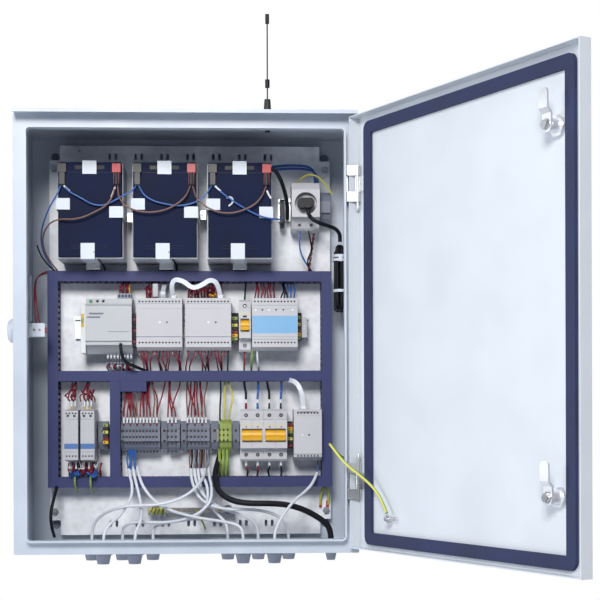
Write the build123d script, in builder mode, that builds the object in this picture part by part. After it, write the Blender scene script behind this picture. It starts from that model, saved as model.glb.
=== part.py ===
from build123d import *
import math
import os

os.makedirs("parts", exist_ok=True)

# Wall-mounted control cabinet with a side-hinged door, in millimetres, +Z up.
# +X is to the right of someone facing it. The wall is the plane Y = 0, and a
# "depth" is the distance from the wall, so Y = -depth. The origin is the centre
# of the four wall bolt holes. The door is drawn shut and hung at its rest angle.

# ---- driving sizes -------------------------------------------------------------------------------
sheet = 1.5                     # steel sheet of body, door and plate
body_width = 500
body_height = 640
flange_depth = 200              # front face of the body's flange
flange_side = 21.5              # width of the flange beside the opening
flange_top = 25
flange_bottom = 21
lip_wall = 3                    # folded sealing lip round the opening
lip_height = 15.2
lip_radius = 5
cornice_reach = 26
cornice_drop = 5

wall_hole_radius = 4.5
wall_hole_side = 37.5           # from the body's side to the wall hole
wall_hole_end = 30

door_overhang = 4               # past the body at each side
door_end_gap = 8                # short of the body at top and bottom
door_return = 15.8              # depth of the door's folded returns
seal_gap = 0.3                  # between closed gasket and lip
rest_angle = 117                # how far the door stands open
gasket_width = 17
gasket_thickness = 5
gasket_side_margin = 0.3        # past the lip, at the sides
gasket_end_margin = 3           # past the lip, at top and bottom
gasket_radius = 12

hinge_inset = 2                 # hinge axis inside the body's side
hinge_set_back = 4.6            # hinge axis behind the door skin
hinge_end = 105                 # from the body's end to the hinge
hinge_pin_radius = 2
hinge_knuckle_radius = 4.2
hinge_end_height = 14.5
hinge_mid_height = 23
hinge_leaf = 1.6
running_clearance = 0.05
part_gap = 0.3

lock_inset = 50                 # from the body's side to the lock
lock_end = 100.5                # from the body's end to the lock
lock_barrel_radius = 9
lock_spindle_radius = 5
lock_square = 7
cam_thickness = 2.5
cam_width = 16
cam_length = 43
cam_crank = 5.5                 # how far the cam's tip steps back

plate_side_gap = 30
plate_end_gap = 15
plate_depth = 20                # front face of the mounting plate
notch_width = 16.5
notch_height = 23
plate_stud_drop = 22            # plate fixing, inward of the wall hole

rail_depth = 27.5               # front face of a 35 mm top-hat rail
rail_height = 35
row_socket = 204
row_controls = 19.5
row_terminals = -149

duct_width = 16
duct_wall = 1.2
duct_depth = 58.5
cover_depth = 60
slot_pitch = 9
slot_width = 4
duct_left_x = -210.7
duct_right_x = 212
duct_upper_z = 97
duct_middle_z = -57.3
duct_lower_z = -221.4
duct_centre_x = -115.5
stub_end_x = -67

battery_width = 95.6
battery_height = 143.6
battery_front = 115
battery_z = 191.7
battery_x = (-148, -35.6, 77.6)
cradle_wall = 1.2
terminal_x = 40.6               # battery terminals, either side of centre
terminal_z = 61.5
boot_front = 122

pole_width = 17.9
gland_pitch = 46.5
gland_group_x = (-103, 104.5)
gland_back_depth = 80
gland_front_depth = 145
mains_gland_x = 215
mains_gland_depth = 100
gland_thread = 11               # threaded end standing inside the floor

antenna_x = 120
antenna_depth = 110
button_z = 9
button_depth = 125

signal_diameter = 4.6
mains_diameter = 9
link_diameter = 2.4
lead_diameter = 6
strap_diameter = 4

# ---- places worked out from the driving sizes ----------------------------------------------------
opening_width = body_width - 2 * flange_side
opening_top = body_height / 2 - flange_top
opening_bottom = -body_height / 2 + flange_bottom
opening_z = (opening_top + opening_bottom) / 2
opening_height = opening_top - opening_bottom
floor_z = -body_height / 2
wall_x = body_width / 2 - sheet
lip_depth = flange_depth + lip_height
cornice_depth = flange_depth + cornice_reach
wall_hole_x = body_width / 2 - wall_hole_side
wall_hole_z = body_height / 2 - wall_hole_end
door_width = body_width + 2 * door_overhang
door_height = body_height - 2 * door_end_gap
door_skin_depth = lip_depth + seal_gap + gasket_thickness
door_return_depth = door_skin_depth - door_return
hinge_x = body_width / 2 - hinge_inset
hinge_depth = door_skin_depth - hinge_set_back
hinge_z = body_height / 2 - hinge_end
lock_x = lock_inset - body_width / 2
lock_z = body_height / 2 - lock_end
cam_hub_depth = flange_depth
cam_tip_depth = cam_hub_depth - cam_crank
plate_width = body_width - 2 * plate_side_gap
plate_height = body_height - 2 * plate_end_gap
plate_stud_z = wall_hole_z - plate_stud_drop
gland_top = floor_z + gland_thread

# ---- helpers --------------------------------------------------------------------------------
hang = (
    Location((hinge_x, -hinge_depth, 0))
    * Location((0, 0, 0), (0, 0, rest_angle))
    * Location((-hinge_x, hinge_depth, 0))
)


def front(depth):
    """Plane parallel to the wall, facing the user, at a depth."""
    return Plane.XZ.offset(depth)


def hung(plane):
    """The same plane carried round the hinge to the door's rest angle."""
    return Plane(hang * plane.location)


def door_front(depth):
    return hung(front(depth))


def finish(piece, name):
    piece.part.label = name
    export_step(piece.part, f"parts/{name}.step")


def section(x, z, outline, width):
    """Side outline, (depth, height above z) points, extruded along X, centred on x."""
    with BuildSketch(Plane.YZ.offset(x - width / 2)) as shape:
        with BuildLine():
            Polyline([(-depth, z + height) for depth, height in outline], close=True)
        make_face()
    extrude(shape.sketch, amount=width)


def screw_holes(depth, points, radius, sunk):
    """Blind round holes sunk into a front face."""
    with BuildSketch(front(depth - sunk)) as shape:
        with Locations(*points):
            Circle(radius)
    extrude(shape.sketch, amount=sunk, mode=Mode.SUBTRACT)


def slab(x, z, width, height, near, far):
    """Block between two depths, centred on x and z."""
    with BuildSketch(front(near)) as shape:
        with Locations((x, z)):
            Rectangle(width, height)
    extrude(shape.sketch, amount=far - near)


def tube(points, diameter):
    """Round cord along straight runs joined by tangent arcs."""
    route = [Vector(x, -depth, z) for x, depth, z in points]
    radii = []
    for before, corner, after in zip(route, route[1:], route[2:]):
        turn = math.radians((corner - before).get_angle(after - corner))
        shorter = min((corner - before).length, (after - corner).length)
        radii.append(0.45 * shorter / math.tan(turn / 2))
    with BuildLine() as path:
        FilletPolyline(*route, radius=radii)
    spine = path.wires()[0]
    with BuildSketch(Plane(origin=spine @ 0, z_dir=spine % 0)) as profile:
        Circle(diameter / 2)
    sweep(sections=profile.sketch, path=spine)
    print(f"cord d{diameter} length {spine.length:.0f} least radius {min(radii):.1f}")


# ---- body --------------------------------------------------------------------------------
gland_spots = []
for group_x in gland_group_x:
    gland_spots += [(group_x + step * gland_pitch, -gland_back_depth) for step in (-1, 0, 1)]
    gland_spots += [(group_x + step * gland_pitch, -gland_front_depth) for step in (-0.5, 0.5)]
gland_radius = 9.9
mains_gland_radius = 7.9
button_barrel_radius = 10.9
antenna_stud_radius = 3.9
hole_gap = 0.3

lip_width = opening_width + 2 * lip_wall
lip_tall = opening_height + 2 * lip_wall
with BuildPart() as enclosure_shell:
    with BuildSketch(front(0)):
        Rectangle(body_width, body_height)
    extrude(amount=flange_depth)
    fillet(edges().filter_by(Axis.Y), radius=2)
    with BuildSketch(front(sheet)):
        Rectangle(body_width - 2 * sheet, body_height - 2 * sheet)
    extrude(amount=flange_depth - 2 * sheet, mode=Mode.SUBTRACT)
    with BuildSketch(front(flange_depth - sheet)):
        with Locations((0, opening_z)):
            RectangleRounded(lip_width, lip_tall, lip_radius + lip_wall)
    extrude(amount=lip_depth - flange_depth + sheet)
    with BuildSketch(front(flange_depth - sheet)):
        with Locations((0, opening_z)):
            RectangleRounded(opening_width, opening_height, lip_radius)
    extrude(amount=lip_depth - flange_depth + sheet, mode=Mode.SUBTRACT)
    # rain cornice over the door
    slab(0, body_height / 2 - sheet / 2, body_width - 4, sheet, flange_depth - sheet, cornice_depth)
    cornice_z = body_height / 2 - cornice_drop / 2
    slab(0, cornice_z, body_width - 4, cornice_drop, cornice_depth - sheet, cornice_depth)
    # wall bolts, glands, antenna and side button
    with BuildSketch(front(0)):
        with GridLocations(2 * wall_hole_x, 2 * wall_hole_z, 2, 2):
            Circle(wall_hole_radius)
    extrude(amount=sheet, mode=Mode.SUBTRACT)
    with BuildSketch(Plane.XY.offset(floor_z)):
        with Locations(*gland_spots):
            Circle(gland_radius + hole_gap)
        with Locations((mains_gland_x, -mains_gland_depth)):
            Circle(mains_gland_radius + hole_gap)
    extrude(amount=sheet, mode=Mode.SUBTRACT)
    with BuildSketch(Plane.XY.offset(body_height / 2 - sheet)):
        with Locations((antenna_x, -antenna_depth)):
            Circle(antenna_stud_radius + hole_gap)
    extrude(amount=sheet, mode=Mode.SUBTRACT)
    with BuildSketch(Plane.YZ.offset(-body_width / 2)):
        with Locations((-button_depth, button_z)):
            Circle(button_barrel_radius + hole_gap)
    extrude(amount=sheet, mode=Mode.SUBTRACT)
finish(enclosure_shell, "enclosure_shell")

# ---- mounting plate and its fixings --------------------------------------------------------------
stud_radius = 3
stud_spots = [(side * wall_hole_x, end * plate_stud_z) for side in (-1, 1) for end in (-1, 1)]
slot_columns = [-121 + 40.6 * step for step in range(7)]
slot_rows = (plate_height / 2 - 17, 17 - plate_height / 2)

with BuildPart() as mounting_plate:
    slab(0, 0, plate_width, plate_height, plate_depth - sheet, plate_depth)
    with BuildSketch(front(plate_depth - sheet)):
        with GridLocations(plate_width - notch_width, plate_height - notch_height, 2, 2):
            Rectangle(notch_width, notch_height)
        with Locations(*stud_spots):
            Circle(stud_radius + 0.2)
        with Locations((-173, plate_height / 2 - 8)):
            Circle(2)
        with Locations(*[(x + side * 4.8, z) for x in slot_columns for side in (-1, 1) for z in slot_rows]):
            SlotOverall(10.4, 4.4, rotation=90)
    extrude(amount=sheet, mode=Mode.SUBTRACT)
finish(mounting_plate, "mounting_plate")

with BuildPart() as plate_fixings:
    with BuildSketch(front(sheet)):
        with Locations(*stud_spots):
            Circle(6)
    extrude(amount=plate_depth - 2 * sheet)
    with BuildSketch(front(plate_depth - sheet)):
        with Locations(*stud_spots):
            Circle(stud_radius)
    extrude(amount=9)
    with BuildSketch(front(plate_depth)):
        with Locations(*stud_spots):
            RegularPolygon(radius=5, side_count=6, major_radius=False)
            Circle(stud_radius + running_clearance, mode=Mode.SUBTRACT)
    extrude(amount=5)
finish(plate_fixings, "plate_fixings")

# ---- hinges --------------------------------------------------------------------------------
hinge_height = 2 * hinge_end_height + hinge_mid_height
web_x = opening_width / 2 + lip_wall + 0.7
leaf_front = door_skin_depth - 0.5

with BuildPart() as hinge_frame_leaves:
    for centre in (-hinge_z, hinge_z):
        for end in (-1, 1):
            low = centre + end * (hinge_mid_height + hinge_end_height) / 2 - hinge_end_height / 2
            trim = part_gap if end > 0 else 0
            with BuildSketch(Plane.XY.offset(low + trim)):
                with Locations((hinge_x, -hinge_depth)):
                    Circle(hinge_knuckle_radius)
                with Locations(((web_x + hinge_x) / 2, -leaf_front + hinge_leaf / 2)):
                    Rectangle(hinge_x - web_x, hinge_leaf)
                with Locations((web_x + hinge_leaf / 2, -(flange_depth + leaf_front) / 2)):
                    Rectangle(hinge_leaf, leaf_front - flange_depth)
                with Locations((hinge_x, -hinge_depth)):
                    Circle(hinge_pin_radius + running_clearance, mode=Mode.SUBTRACT)
            extrude(amount=hinge_end_height - part_gap)
        with BuildSketch(Plane.XY.offset(centre - hinge_height / 2)):
            with Locations((web_x + hinge_leaf / 2, -(flange_depth + 6))):
                Rectangle(hinge_leaf, 12)
        extrude(amount=hinge_height)
finish(hinge_frame_leaves, "hinge_frame_leaves")

with BuildPart() as hinge_door_leaves:
    for centre in (-hinge_z, hinge_z):
        knuckle = hung(Plane.XY.offset(centre - hinge_mid_height / 2 + part_gap / 2))
        leaf_left = opening_width / 2 + lip_wall + 3
        with BuildSketch(knuckle):
            with Locations((hinge_x, -hinge_depth)):
                Circle(hinge_knuckle_radius)
            with Locations(((leaf_left + hinge_x) / 2, -door_skin_depth + hinge_leaf / 2)):
                Rectangle(hinge_x - leaf_left, hinge_leaf)
            with Locations((hinge_x, -hinge_depth)):
                Circle(hinge_pin_radius + running_clearance, mode=Mode.SUBTRACT)
        extrude(amount=hinge_mid_height - part_gap)
finish(hinge_door_leaves, "hinge_door_leaves")

with BuildPart() as hinge_pins:
    for centre, side in ((hinge_z, -1), (-hinge_z, 1)):
        reach = hinge_height / 2 + 1
        with BuildSketch(Plane.XY.offset(centre - reach)):
            with Locations((hinge_x, -hinge_depth)):
                Circle(hinge_pin_radius)
        extrude(amount=2 * reach)
        # grip that widens and rounds off, on the end facing the middle of the door
        grip_steps = ((0, hinge_pin_radius, 8, -10), (8, 3.4, 4, 20))
        for start, radius, length, taper in grip_steps:
            grip = Plane((hinge_x, -hinge_depth, centre + side * (reach + start)), z_dir=(0, 0, side))
            with BuildSketch(grip):
                Circle(radius)
            extrude(amount=length, taper=taper)
finish(hinge_pins, "hinge_pins")

# ---- door --------------------------------------------------------------------------------
door_stud_x = 160.4
door_stud_z = -door_height / 2 + 47
lock_spots = [(lock_x, -lock_z), (lock_x, lock_z)]

with BuildPart() as door_panel:
    with BuildSketch(door_front(door_return_depth)):
        Rectangle(door_width, door_height)
    extrude(amount=door_skin_depth + sheet - door_return_depth)
    with BuildSketch(door_front(door_return_depth)):
        Rectangle(door_width - 2 * sheet, door_height - 2 * sheet)
    extrude(amount=door_skin_depth - door_return_depth, mode=Mode.SUBTRACT)
    with BuildSketch(door_front(door_skin_depth)):
        with Locations(*lock_spots):
            Circle(lock_barrel_radius + hole_gap)
    extrude(amount=sheet, mode=Mode.SUBTRACT)
finish(door_panel, "door_panel")

seal_x = opening_width / 2 + lip_wall + gasket_side_margin
seal_top = opening_top + lip_wall + gasket_end_margin
seal_bottom = opening_bottom - lip_wall - gasket_end_margin
with BuildPart() as door_gasket:
    with BuildSketch(door_front(door_skin_depth - gasket_thickness)):
        with Locations((0, (seal_top + seal_bottom) / 2)):
            RectangleRounded(2 * seal_x, seal_top - seal_bottom, gasket_radius)
            RectangleRounded(
                2 * (seal_x - gasket_width),
                seal_top - seal_bottom - 2 * gasket_width,
                2,
                mode=Mode.SUBTRACT,
            )
    extrude(amount=gasket_thickness)
finish(door_gasket, "door_gasket")

# ---- quarter-turn locks --------------------------------------------------------------------------
barrel_back = cam_hub_depth + cam_thickness + 0.5
barrel_face = door_skin_depth + sheet

with BuildPart() as lock_barrels:
    with BuildSketch(door_front(barrel_back)):
        with Locations(*lock_spots):
            Circle(lock_barrel_radius)
    extrude(amount=barrel_face - barrel_back)
    with BuildSketch(door_front(barrel_face)):
        with Locations(*lock_spots):
            Circle(12.5)
    extrude(amount=2.5)
    with BuildSketch(door_front(barrel_back)):
        with Locations(*lock_spots):
            Circle(lock_spindle_radius + running_clearance)
    extrude(amount=barrel_face + 2.5 - barrel_back, mode=Mode.SUBTRACT)
    # clamping nut behind the skin
    with BuildSketch(door_front(door_skin_depth - 6)):
        with Locations(*lock_spots):
            RegularPolygon(radius=12, side_count=6, major_radius=False)
            Circle(lock_barrel_radius + running_clearance, mode=Mode.SUBTRACT)
    extrude(amount=6)
finish(lock_barrels, "lock_barrels")

for name, centre in (("upper", lock_z), ("lower", -lock_z)):
    with BuildPart() as spindle:
        with BuildSketch(door_front(barrel_back)):
            with Locations((lock_x, centre)):
                Circle(lock_spindle_radius)
        extrude(amount=barrel_face + 1 - barrel_back)
        with BuildSketch(door_front(cam_hub_depth + 0.2)):
            with Locations((lock_x, centre)):
                Rectangle(lock_square, lock_square)
        extrude(amount=barrel_back - cam_hub_depth - 0.2)
        # key slot outside and bolt hole inside
        with BuildSketch(door_front(barrel_face - 7)):
            with Locations((lock_x, centre)):
                Rectangle(7, 2.4)
        extrude(amount=8, mode=Mode.SUBTRACT)
        with BuildSketch(door_front(cam_hub_depth + 0.2)):
            with Locations((lock_x, centre)):
                Circle(2.5 + running_clearance)
        extrude(amount=8.3, mode=Mode.SUBTRACT)
    finish(spindle, f"{name}_lock_spindle")

    with BuildPart() as cam:
        near, far, thick = cam_tip_depth, cam_hub_depth, cam_thickness
        side_plane = hung(Plane.YZ.offset(lock_x - cam_width / 2))
        with BuildSketch(side_plane):
            with BuildLine():
                Polyline(
                    [
                        (-far, centre - 9),
                        (-far, centre + 13),
                        (-near, centre + 19),
                        (-near, centre + cam_length),
                        (-near - thick, centre + cam_length),
                        (-near - thick, centre + 20),
                        (-far - thick, centre + 14),
                        (-far - thick, centre - 9),
                    ],
                    close=True,
                )
            make_face()
        extrude(amount=cam_width)
        with BuildSketch(door_front(near - 2)):
            with Locations((lock_x, centre + (cam_length - 9) / 2)):
                RectangleRounded(cam_width, cam_length + 9, 6.5)
        extrude(amount=20, mode=Mode.INTERSECT)
        with BuildSketch(door_front(far)):
            with Locations((lock_x, centre)):
                Rectangle(lock_square + 0.1, lock_square + 0.1)
        extrude(amount=thick, mode=Mode.SUBTRACT)
    finish(cam, f"{name}_lock_cam")

    with BuildPart() as cam_bolt:
        with BuildSketch(door_front(cam_hub_depth - 5)):
            with Locations((lock_x, centre)):
                RegularPolygon(radius=5, side_count=6, major_radius=False)
        extrude(amount=4)
        with BuildSketch(door_front(cam_hub_depth - 1)):
            with Locations((lock_x, centre)):
                Circle(7)
        extrude(amount=1)
        with BuildSketch(door_front(cam_hub_depth)):
            with Locations((lock_x, centre)):
                Circle(2.5)
        extrude(amount=8)
    finish(cam_bolt, f"{name}_cam_bolt")

# ---- earthing --------------------------------------------------------------------------------
wall_stud_depth = 150
wall_stud_z = -178

with BuildPart() as door_earth_stud:
    with BuildSketch(door_front(door_skin_depth - 16)):
        with Locations((door_stud_x, door_stud_z)):
            Circle(3)
    extrude(amount=16)
    with BuildSketch(door_front(door_skin_depth - 12)):
        with Locations((door_stud_x, door_stud_z)):
            RegularPolygon(radius=5, side_count=6, major_radius=False)
            Circle(3 + running_clearance, mode=Mode.SUBTRACT)
    extrude(amount=5)
finish(door_earth_stud, "door_earth_stud")

with BuildPart() as wall_earth_stud:
    with BuildSketch(Plane.YZ.offset(wall_x - 16)):
        with Locations((-wall_stud_depth, wall_stud_z)):
            Circle(3)
    extrude(amount=16)
    with BuildSketch(Plane.YZ.offset(wall_x - 8)):
        with Locations((-wall_stud_depth, wall_stud_z)):
            RegularPolygon(radius=5, side_count=6, major_radius=False)
            Circle(3 + running_clearance, mode=Mode.SUBTRACT)
    extrude(amount=5)
finish(wall_earth_stud, "wall_earth_stud")

strap_route = [
    (wall_x - 11.5, wall_stud_depth + 6, wall_stud_z - 2),
    (wall_x - 15.5, 168, -184),
    (wall_x - 22.5, 182, -181),
    (216, 197, -172),
    (208, 209, -163),
    (206, 220, -161),
    (211, 228, -168),
    (219, 234, -179),
    (230, 239, -192),
    (247, 248, -205),
    (262, 260, -219),
    (271, 270, -231),
    (277, 281, -244),
    (281, 290, -257),
]
with BuildPart() as earth_strap:
    tube(strap_route, strap_diameter)
finish(earth_strap, "earth_strap")

# ---- rails --------------------------------------------------------------------------------
half = rail_height / 2
rail_outline = [
    (plate_depth, -half + 4),
    (plate_depth, half - 4),
    (rail_depth - 1, half - 4),
    (rail_depth - 1, half),
    (rail_depth, half),
    (rail_depth, half - 5),
    (plate_depth + 1, half - 5),
    (plate_depth + 1, -half + 5),
    (rail_depth, -half + 5),
    (rail_depth, -half),
    (rail_depth - 1, -half),
    (rail_depth - 1, -half + 4),
]
rails = (
    (138, 218, row_socket),
    (-180, 185, row_controls),
    (-196, -124, row_terminals),
    (-107, 202, row_terminals),
)
with BuildPart() as din_rails:
    for start_x, end_x, row in rails:
        section((start_x + end_x) / 2, row, rail_outline, end_x - start_x)
finish(din_rails, "din_rails")

# ---- wiring ducts --------------------------------------------------------------------------------
duct_top = duct_upper_z + duct_width / 2
duct_bottom = duct_lower_z - duct_width / 2
cross_left = duct_left_x + duct_width / 2
cross_right = duct_right_x - duct_width / 2
slot_low = plate_depth + 10
slot_high = duct_depth - 4


def channel(x, z, width, height, upright):
    """Open slotted trough, its long sides pierced by a row of slots."""
    slab(x, z, width, height, plate_depth, duct_depth)
    with BuildSketch(front(plate_depth + duct_wall)) as shape:
        with Locations((x, z)):
            if upright:
                Rectangle(width - 2 * duct_wall, height)
            else:
                Rectangle(width, height - 2 * duct_wall)
    extrude(shape.sketch, amount=duct_depth - plate_depth - duct_wall, mode=Mode.SUBTRACT)
    long_side = height if upright else width
    count = int((long_side - 2 * slot_pitch) // slot_pitch) + 1
    middle = -(slot_low + slot_high) / 2
    if upright:
        with BuildSketch(Plane.YZ.offset(x - width / 2)) as shape:
            with Locations((middle, z)):
                with GridLocations(0, slot_pitch, 1, count):
                    Rectangle(slot_high - slot_low, slot_width)
        extrude(shape.sketch, amount=width, mode=Mode.SUBTRACT)
    else:
        with BuildSketch(Plane.XY.offset(z - height / 2)) as shape:
            with Locations((x, middle)):
                with GridLocations(slot_pitch, 0, count, 1):
                    Rectangle(slot_width, slot_high - slot_low)
        extrude(shape.sketch, amount=height, mode=Mode.SUBTRACT)


tall_z = (duct_top + duct_bottom) / 2
tall_height = duct_top - duct_bottom
cross_x = (cross_left + cross_right) / 2
cross_width = cross_right - cross_left
middle_low = duct_middle_z - duct_width / 2
centre_low = duct_lower_z + duct_width / 2
centre_z = (middle_low + centre_low) / 2
stub_start_x = duct_centre_x + duct_width / 2 + 0.2
stub_x = (stub_start_x + stub_end_x) / 2
stub_z = middle_low - duct_width / 2

with BuildPart() as side_ducts:
    for x in (duct_left_x, duct_right_x):
        channel(x, tall_z, duct_width, tall_height, True)
finish(side_ducts, "side_ducts")

with BuildPart() as cross_ducts:
    for z in (duct_upper_z, duct_middle_z, duct_lower_z):
        channel(cross_x, z, cross_width, duct_width, False)
finish(cross_ducts, "cross_ducts")

with BuildPart() as centre_ducts:
    channel(duct_centre_x, centre_z, duct_width, middle_low - centre_low, True)
    channel(stub_x, stub_z, stub_end_x - stub_start_x, duct_width, False)
finish(centre_ducts, "centre_ducts")

with BuildPart() as duct_covers:
    covers = [(duct_left_x, tall_z, duct_width, tall_height), (duct_right_x, tall_z, duct_width, tall_height)]
    covers += [(cross_x, z, cross_width, duct_width) for z in (duct_upper_z, duct_middle_z, duct_lower_z)]
    covers += [(duct_centre_x, centre_z, duct_width, middle_low - centre_low)]
    covers += [(stub_x, stub_z, stub_end_x - stub_start_x, duct_width)]
    for x, z, width, height in covers:
        slab(x, z, width - 0.2, height - 0.2, duct_depth, cover_depth)
finish(duct_covers, "duct_covers")

# ---- batteries --------------------------------------------------------------------------------
cradle_back = plate_depth + cradle_wall
battery_low = battery_z - battery_height / 2
fit_gap = 0.2

for name, x in zip(("battery_left", "battery_centre", "battery_right"), battery_x):
    with BuildPart() as battery:
        slab(x, battery_z, battery_width, battery_height, cradle_back + fit_gap, battery_front - 6)
        slab(x, battery_z, battery_width - 1.6, battery_height - 1.6, battery_front - 6, battery_front)
        fillet(edges().filter_by(Axis.Y), radius=2)
    finish(battery, name)

with BuildPart() as battery_cradles:
    cheek = battery_width / 2 + fit_gap + cradle_wall / 2
    for x in battery_x:
        slab(x, battery_z, battery_width + 2 * fit_gap, battery_height, plate_depth, cradle_back)
        for side in (-1, 1):
            slab(x + side * cheek, battery_z, cradle_wall, battery_height, plate_depth, battery_front - 15)
        slab(
            x,
            battery_low - fit_gap - cradle_wall / 2,
            battery_width + 2 * fit_gap + 2 * cradle_wall,
            cradle_wall + 2 * fit_gap,
            plate_depth,
            battery_front - 5,
        )
finish(battery_cradles, "battery_cradles")

pad_width = 21
pad_height = 20
pad_wall = 1.2
pad_front = battery_front + fit_gap + pad_wall


def clip(x, z, wide, tall, leg_x, leg_z, leg_wide, leg_tall, leg_back):
    """White clip: a square pad on the face and a leg back along the side."""
    slab(x, z, wide, tall, battery_front + fit_gap, pad_front)
    slab(leg_x, leg_z, leg_wide, leg_tall, leg_back, pad_front)


with BuildPart() as battery_clips:
    for x in battery_x:
        edge = battery_width / 2 + fit_gap + cradle_wall + 0.1
        for side, z in ((-1, battery_z + 8), (1, battery_z - 4)):
            outer = edge + pad_wall
            clip(
                x + side * (outer - pad_width / 2),
                z,
                pad_width,
                pad_height - 3,
                x + side * (edge + pad_wall / 2),
                z,
                pad_wall,
                pad_height - 3,
                60,
            )
        top = battery_z + battery_height / 2 + fit_gap
        clip(x, top + pad_wall - 10, pad_width, 20, x, top + pad_wall / 2, pad_width, pad_wall, 60)
        low = battery_low - 3 * fit_gap - cradle_wall
        clip(x - 3, low - pad_wall + 12, pad_width, 24, x - 3, low - pad_wall / 2, pad_width, pad_wall, 60)
finish(battery_clips, "battery_clips")


def boots(side):
    """Insulating boots pushed on the tab terminals, with a sleeve hanging down."""
    for x in battery_x:
        slab(x + side * terminal_x, battery_z + terminal_z, 12.5, 13, battery_front, boot_front)
        slab(x + side * terminal_x, battery_z + terminal_z - 15.5, 8, 18, battery_front, boot_front - 1)


with BuildPart() as negative_boots:
    boots(-1)
finish(negative_boots, "negative_boots")
with BuildPart() as positive_boots:
    boots(1)
finish(positive_boots, "positive_boots")

# ---- modules on the middle rail ------------------------------------------------------------------
module_outline = [
    (rail_depth, -38),
    (66, -38),
    (70, -33.5),
    (82, -33.5),
    (82, -17.5),
    (83, -17),
    (83, 25.5),
    (82, 26),
    (82, 41.5),
    (rail_depth, 41.5),
]
supply_outline = [
    (rail_depth, -43),
    (60, -43),
    (76, -30),
    (84, -30),
    (84, -25),
    (88, -24),
    (88, 29),
    (84, 30),
    (80, 33),
    (80, 41),
    (rail_depth, 41),
]
module_width = 70
screw_pitch = 5.08


def screw_row(x, z, count):
    return [(x + (step - (count - 1) / 2) * screw_pitch, z) for step in range(count)]


with BuildPart() as power_supply:
    section(-122.5, row_controls, supply_outline, 70)
    screw_holes(80, [(-140, row_controls + 37), (-131, row_controls + 37)], 2.2, 4)
finish(power_supply, "power_supply")


def module(x):
    """Slim rail module with a row of clamp screws along its top and bottom."""
    section(x, row_controls, module_outline, module_width)
    for height in (36.5, -26.5):
        screw_holes(82, screw_row(x, row_controls + height, 13), 1.4, 4)


with BuildPart() as controllers:
    for x in (-45.7, 28.8):
        module(x)
finish(controllers, "controllers")
with BuildPart() as meter_module:
    module(131)
finish(meter_module, "meter_module")

block_outline = [(rail_depth, -21), (52, -21), (56, -16), (56, 16), (52, 21), (rail_depth, 21)]
with BuildPart() as bus_connectors:
    for x, row, width in (
        (-161.2, row_controls, 7),
        (70.2, row_controls, 10.5),
        (170, row_controls, 6.5),
        (154.6, row_terminals, 8),
        (144, row_socket - 8, 7),
    ):
        section(x, row, block_outline, width)
finish(bus_connectors, "bus_connectors")

# ---- circuit breakers ----------------------------------------------------------------------------
breaker_outline = [
    (rail_depth, -40),
    (68, -40),
    (71.5, -37),
    (71.5, -21),
    (87.5, -20),
    (87.5, 23),
    (71.5, 24),
    (71.5, 37),
    (68, 40),
    (rail_depth, 40),
]
toggle_depth = 79
toggle_radius = 8
toggle_width = 13
toggle_drop = 20                # degrees below level at rest
toggle_reach = 17


def breaker(x, row, poles):
    body_x = [x + (step - (poles - 1) / 2) * pole_width for step in range(poles)]
    section(x, row, breaker_outline, poles * pole_width)
    low, high = body_x[0] - toggle_width / 2 - part_gap, body_x[-1] + toggle_width / 2 + part_gap
    with BuildSketch(Plane.YZ.offset(low)) as shape:
        with Locations((-toggle_depth, row)):
            Circle(toggle_radius + part_gap)
        with Locations((-toggle_depth - 6, row)):
            Rectangle(12, 20)
    extrude(shape.sketch, amount=high - low, mode=Mode.SUBTRACT)
    screw_holes(71.5, [(pole, row + end * 30.5) for pole in body_x for end in (-1, 1)], 3, 5)


def toggle(x, row, poles):
    """Drum and lever of each pole, joined by the drum into one handle."""
    width = (poles - 1) * pole_width + toggle_width
    with BuildSketch(Plane.YZ.offset(x - width / 2)) as shape:
        with Locations((-toggle_depth, row)):
            Circle(toggle_radius)
        with Locations(Location((-toggle_depth, row), toggle_drop)):
            with Locations((-toggle_reach / 2, 0)):
                Rectangle(toggle_reach, 5)
    extrude(shape.sketch, amount=width)


breakers = (
    ("single_breaker", 85, row_controls, 1),
    ("breaker_left", 95.4, row_terminals, 2),
    ("breaker_right", 131.4, row_terminals, 2),
)
for name, x, row, poles in breakers:
    with BuildPart() as breaker_body:
        breaker(x, row, poles)
    finish(breaker_body, f"{name}_body")
    with BuildPart() as breaker_toggle:
        toggle(x, row, poles)
    finish(breaker_toggle, f"{name}_toggle")

# ---- relays, terminals and clamps on the lower rail ----------------------------------------------
relay_outline = [(rail_depth, -40), (62, -40), (90, -37), (90, 38), (62, 40), (rail_depth, 40)]
with BuildPart() as relays:
    for x in (-179.5, -154.8):
        section(x, row_terminals, relay_outline, 21)
        screw_holes(90, [(x - 5, row_terminals + 30), (x + 5, row_terminals + 30)], 2, 8)
finish(relays, "relays")

terminal_outline = [
    (rail_depth, -24),
    (50, -24),
    (56, -18),
    (60, -10),
    (65, -9),
    (65, 9),
    (60, 10),
    (56, 18),
    (50, 24),
    (rail_depth, 24),
]
terminal_gap = 0.15


def terminal_group(start, row, count, pitch):
    for step in range(count):
        section(start + (step + 0.5) * pitch, row, terminal_outline, pitch - terminal_gap)


with BuildPart() as terminal_blocks:
    terminal_group(-102, row_terminals, 11, 5.08)
    terminal_group(-34, row_terminals, 3, 6.1)
    terminal_group(-4, row_terminals, 6, 5.7)
    terminal_group(202.5, row_socket, 3, 5.2)
finish(terminal_blocks, "terminal_blocks")

with BuildPart() as earth_terminals:
    terminal_group(45.6, row_terminals, 3, 6.2)
finish(earth_terminals, "earth_terminals")

clamp_outline = [(rail_depth, -22), (44, -22), (52, -10), (52, 10), (44, 22), (rail_depth, 22)]
with BuildPart() as end_clamps:
    for x, width in ((-134.8, 15), (-105.2, 4.4), (-40, 10), (-9.9, 9), (37.9, 12), (70.7, 11)):
        section(x, row_terminals, clamp_outline, width)
finish(end_clamps, "end_clamps")

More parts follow.
